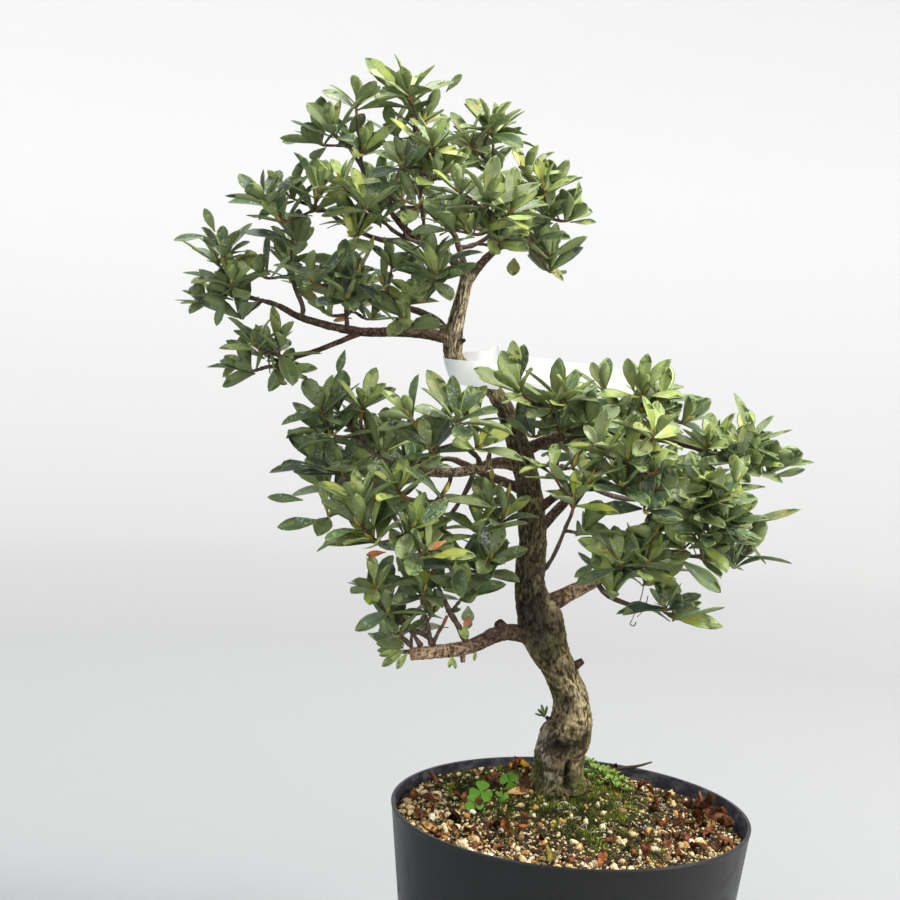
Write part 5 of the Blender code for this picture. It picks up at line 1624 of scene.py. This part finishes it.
def makeFibres(materials):
    # thin roots and bits of twig that lie on the soil in loose arcs
    rng = np.random.default_rng(451)
    count = fibres["pale"] + fibres["dark"]
    pale = np.arange(count) < fibres["pale"]
    close, anywhere = (np.column_stack([rng.uniform(low, high, count) for low, high in zip(*fibres[key])])
                       for key in ("close", "anywhere"))
    seen = np.where(pale[:, None] & (rng.uniform(size=(count, 1)) < 0.75), close, anywhere)
    start = placeAtHeight(seen, 133 * mm)[:, :2]
    start = start / np.maximum(1, np.hypot(*start.T) / (68 * mm))[:, None]
    t = np.linspace(0, 1, fibres["rows"])[None, :, None]
    heading = rng.uniform(0, 6.28, (count, 1, 1))
    curl = rng.normal(0, 2.6, (count, 1, 1)) * np.where(pale[:, None, None], 1, 0.2)
    length = np.where(pale, rng.uniform(2, 8, count), rng.uniform(3, 10, count))[:, None, None] * mm
    turn = heading + curl * t
    step = circle(turn[..., 0]) * length / fibres["rows"]
    flat = start[:, None] + np.cumsum(step, axis=1)
    hump = np.sin(math.pi * t[..., 0]) * rng.uniform(0.2, 1.6, (count, 1)) * mm
    level = soilHeight(flat[..., 0], flat[..., 1]) + hump + 0.5 * mm
    paths = np.concatenate([flat, level[..., None]], -1)
    thick = np.where(pale, *fibres["half"])[:, None] * mm * np.linspace(1, 0.6, fibres["rows"])
    high = np.array(fibres["stickLevels"]) * mm
    stick = [placeAtHeight(point, each) for point, each in zip(fibres["stick"], high)]
    stick = smoothRoute(np.column_stack([stick, np.array(fibres["stickThick"]) * mm]), 8)
    stick = fewerRows(stick, fibres["rows"])
    paths = np.concatenate([paths, stick[None, :, :3]])
    thick = np.concatenate([thick, stick[None, :, 3]])
    pale = np.append(pale, False)
    count += 1
    tubes = ringsAlong(paths, thick, fibres["sides"])
    groups = [(part, np.repeat(np.where(pale, 0, 1), len(part) // count))
              for part in tubesOf(count, fibres["rows"], fibres["sides"])]
    buildPiece("fibres", tubes, groups, materials, ["soil"])


# label

label = {
    "route": [(20, 38), (-12, 36), (-36, 31.5), (-50, 29.2), (-57, 29), (-62, 27.8), (-64.3, 24.5),
              (-63.8, 20.5), (-60.5, 17), (-54.5, 15), (-48.5, 15.2), (-44.2, 16.6), (-42.8, 19),
              (-44.8, 21), (-48.5, 22.2), (-52.8, 22.8)],
    "width": 12 * mm, "thickness": 0.35 * mm, "height": 323 * mm, "pivot": -58 * mm,
    "tilt": math.radians(-4), "peak": 8.6 * mm, "peakFromEnd": 8 * mm, "peakBefore": 3.5 * mm,
    "tail": 14 * mm, "tailRise": 9 * mm, "drop": 4 * mm, "dropFrom": 58 * mm, "dropOver": 24 * mm,
    "columns": 7, "bow": 0.4 * mm, "lean": (0.4, 34 * mm, 15 * mm), "sway": (0.05, 14 * mm),
    "sharpAngle": math.radians(40),
}


def makeLabel(material):
    # a strip that passes behind the trunk, turns round it and folds up into a point; each row of corners
    # stands upright at a place of the route and leans out by a bell of its distance from the end
    route = np.array(label["route"]) * mm
    places = evenRoute(smoothRoute(np.column_stack([route, 0 * route[:, 0]]), 16), 0.8 * mm)
    run = runOf(places)
    fromEnd = run - run[-1]
    way = unit(np.gradient(places, axis=0))
    side = unit(np.cross(way, up))
    fall = smooth(np.clip((fromEnd + label["dropFrom"]) / label["dropOver"], 0, 1))
    level = label["height"] + math.sin(label["tilt"]) * (places[:, 0] - label["pivot"])
    level = level - label["drop"] * fall
    past = fromEnd + label["peakFromEnd"]
    peak = np.clip(1 - np.where(past < 0, -past / label["peakBefore"], past / label["peakFromEnd"]), 0, 1)
    foot = np.clip(2 * (fromEnd + label["tail"]) / label["tail"], 0, 1)
    low = label["tailRise"] * smooth(foot)[:, None]
    part = np.linspace(0, 1, label["columns"])[None, :]
    rise = low + (label["width"] + label["peak"] * peak[:, None] - low) * part
    most, place, width = label["lean"]
    sway, pitch = label["sway"]
    lean = (most * bell(fromEnd + place, width) + sway * np.sin(run / pitch))[:, None]
    out = (rise * np.sin(lean) + label["bow"] * np.sin(math.pi * part))[..., None] * side[:, None]
    body = places[:, None] + out + up * (level[:, None] + rise * np.cos(lean))[..., None]
    half = side[:, None] * label["thickness"] / 2
    loops = np.concatenate([body + half, (body - half)[:, ::-1]], axis=1)
    groups = [(part, 0) for part in tubeFaces(*loops.shape[:2])]
    strip = buildPiece("labelStrip", loops, groups, [material], ["label"])
    strip.data.set_sharp_from_angle(angle=label["sharpAngle"])


def labelFinish():
    # a white sheet that glows a little (painted light), painted bluish grey towards its left end as painted
    # shade
    paint = Finish("labelSheet", Roughness=0.5, Emission_Strength=0.17)
    sideways = paint.add("SeparateXYZ", {}, {0: paint.objectPlace()}, 0)
    lit = sideways.step(-70 * mm, -58 * mm)
    paint.use("Base Color", paint.mix(lit, (0.7, 0.74, 0.77), (0.92, 0.93, 0.94)))
    paint.use("Emission Color", paint.mix(lit, (0.1, 0.14, 0.16), (1.0, 1.0, 1.0)))
    return paint.material


# floor, light and camera

stage = {"glow": 0.09, "flat": 1.5, "round": 2.6, "high": 2.4, "world": 0.7,
         "greys": [(0.11, (0.315, 0.325, 0.335)), (0.38, (0.45, 0.455, 0.46)), (0.63, (0.69, 0.69, 0.69)),
                   (0.85, (0.78, 0.78, 0.78)), (0.98, (0.87, 0.87, 0.87))]}
# lights: name, place, point they shine at, size, power, colour
lights = [
    ("key", (0.72, -0.25, 1.3), (0, 0, 0.25), 0.6, 27, (1.0, 0.97, 0.9)),
    ("side", (0.95, -0.5, 0.36), (0, 0, 0.18), 0.5, 5, (1.0, 0.95, 0.86)),
    ("overhead", (-0.15, 0.25, 1.4), (0, 0, 0.3), 0.9, 12, (1, 1, 1)),
    ("fill", (-0.8, -1.05, 0.7), (0, 0, 0.2), 0.9, 5, (0.95, 0.98, 1.0)),
]


def makeStage():
    # a round pale floor that curves up into a wall: a profile turned about the upright
    sides = 96
    bow = np.linspace(0, math.pi / 2, 17)
    reach = stage["round"] - stage["flat"]
    away = np.concatenate([[0.4, 1.0], stage["flat"] + reach * np.sin(bow), [stage["round"]]])
    rise = np.concatenate([[0, 0], reach * (1 - np.cos(bow)), [stage["high"]]])
    rows = ringsAt(away[:, None], rise[:, None], angles(sides))
    corners = np.vstack([rows.reshape(-1, 3), [[0, 0, 0]]])
    walls, middle, _ = turnedFaces(len(rows), sides, True)
    # the floor's grey darkens towards the middle as painted shade round the pot, and the far wall glows as
    # painted light
    paint = Finish("backdrop", Roughness=0.9, Specular_IOR_Level=0.2, Emission_Strength=stage["glow"])
    far = paint.add("VectorMath", {"operation": "LENGTH"}, {0: paint.objectPlace()}, 1)
    far = far * (1 / stage["round"])
    paint.use("Base Color", paint.ramp(far, stage["greys"]))
    paint.use("Emission Color", paint.mix(far.step(0.6, 1.0), (0, 0, 0), (1, 1, 1)))
    floor = meshObject("backdrop", corners, [(walls, 0), (middle, 0)], [paint.material])


def lightStage():
    # a cool even sky and round area lights, each turned so that its back points away from its aim
    world = bpy.data.worlds.new("studio")
    world.use_nodes = True
    background = world.node_tree.nodes["Background"]
    background.inputs["Color"].default_value = (0.95, 0.97, 1.0, 1)
    background.inputs["Strength"].default_value = stage["world"]
    bpy.context.scene.world = world
    for name, place, aim, size, power, colour in lights:
        data = bpy.data.lights.new(name, "AREA")
        data.shape, data.size, data.energy, data.color = "DISK", size, power, colour
        light = addObject(name, data)
        light.location = place
        light.rotation_euler = (Vector(place) - Vector(aim)).to_track_quat("Z", "Y").to_euler()
        light.visible_camera = False


def placeCamera():
    # the camera's own axes are right, above and backward
    forward, right, above = sightAxes()
    data = bpy.data.cameras.new("camera")
    data.lens, data.sensor_width = sight["lens"], sight["sensor"]
    camera = addObject("camera", data)
    turned = Matrix([right, above, -forward]).transposed().to_4x4()
    camera.matrix_world = Matrix.Translation(sight["place"]) @ turned
    bpy.context.scene.camera = camera


limbRoutes = {name: limbRoute(name) for name in ("trunk", *boughs)}

makeTrunk([barkFinish("trunkBark", trunkLook)])
makeBoughs([barkFinish("boughBark", boughLook), cutFinish()])
print("limbs done")

leafMaterials = [leafFinish(f"leafTone{k}", tone) for k, tone in enumerate(leafTones)]
leafMaterials += [plainLeafFinish("leafEdge", (0.23, 0.31, 0.085), 0.5),
                  plainLeafFinish("leafUnderside", (0.21, 0.27, 0.11), 0.6)]
twigMaterials = [
    twigFinish("twigBark", [(0.03, 0.02, 0.015), (0.09, 0.06, 0.042), (0.19, 0.14, 0.1)], 0.8),
    twigFinish("youngWood", [(0.12, 0.05, 0.015), (0.24, 0.115, 0.03), (0.36, 0.2, 0.06)], 0.6),
    twigFinish("budScales", [(0.22, 0.16, 0.03), (0.38, 0.33, 0.06), (0.5, 0.46, 0.12)], 0.5)]
makeFoliage(leafMaterials, twigMaterials)

makePot([potFinish(), insideFinish()])
makeSoil(soilFinish())
makeGrit([gritFinish(k, colour) for k, colour in enumerate(gritColours)])
print("pot and soil done")

makeMoss([plainLeafFinish(f"moss{k}", tone, 0.8) for k, tone in enumerate(moss["tones"])])
fallenMaterials = [deadLeafFinish(f"fallen{k}", tone) for k, tone in enumerate(fallenTones)]
makeFallen(fallenMaterials + [deadLeafFinish("fallenRib", (0.2, 0.08, 0.03)),
                              deadLeafFinish("fallenUnderside", (0.17, 0.07, 0.03))])
makeWeeds([plainLeafFinish("clover", (0.115, 0.28, 0.03), 0.5),
           plainLeafFinish("herb", (0.3, 0.42, 0.09), 0.6),
           plainLeafFinish("weedUnderside", (0.15, 0.3, 0.05), 0.7)])
makeFibres([plainLeafFinish("paleRoot", (0.62, 0.56, 0.44), 0.6),
            plainLeafFinish("deadTwig", (0.05, 0.035, 0.028), 0.8)])
makeLabel(labelFinish())
print("ground and label done")

makeStage()
lightStage()
placeCamera()
bpy.context.scene.view_settings.view_transform = "Standard"
print("stage done")
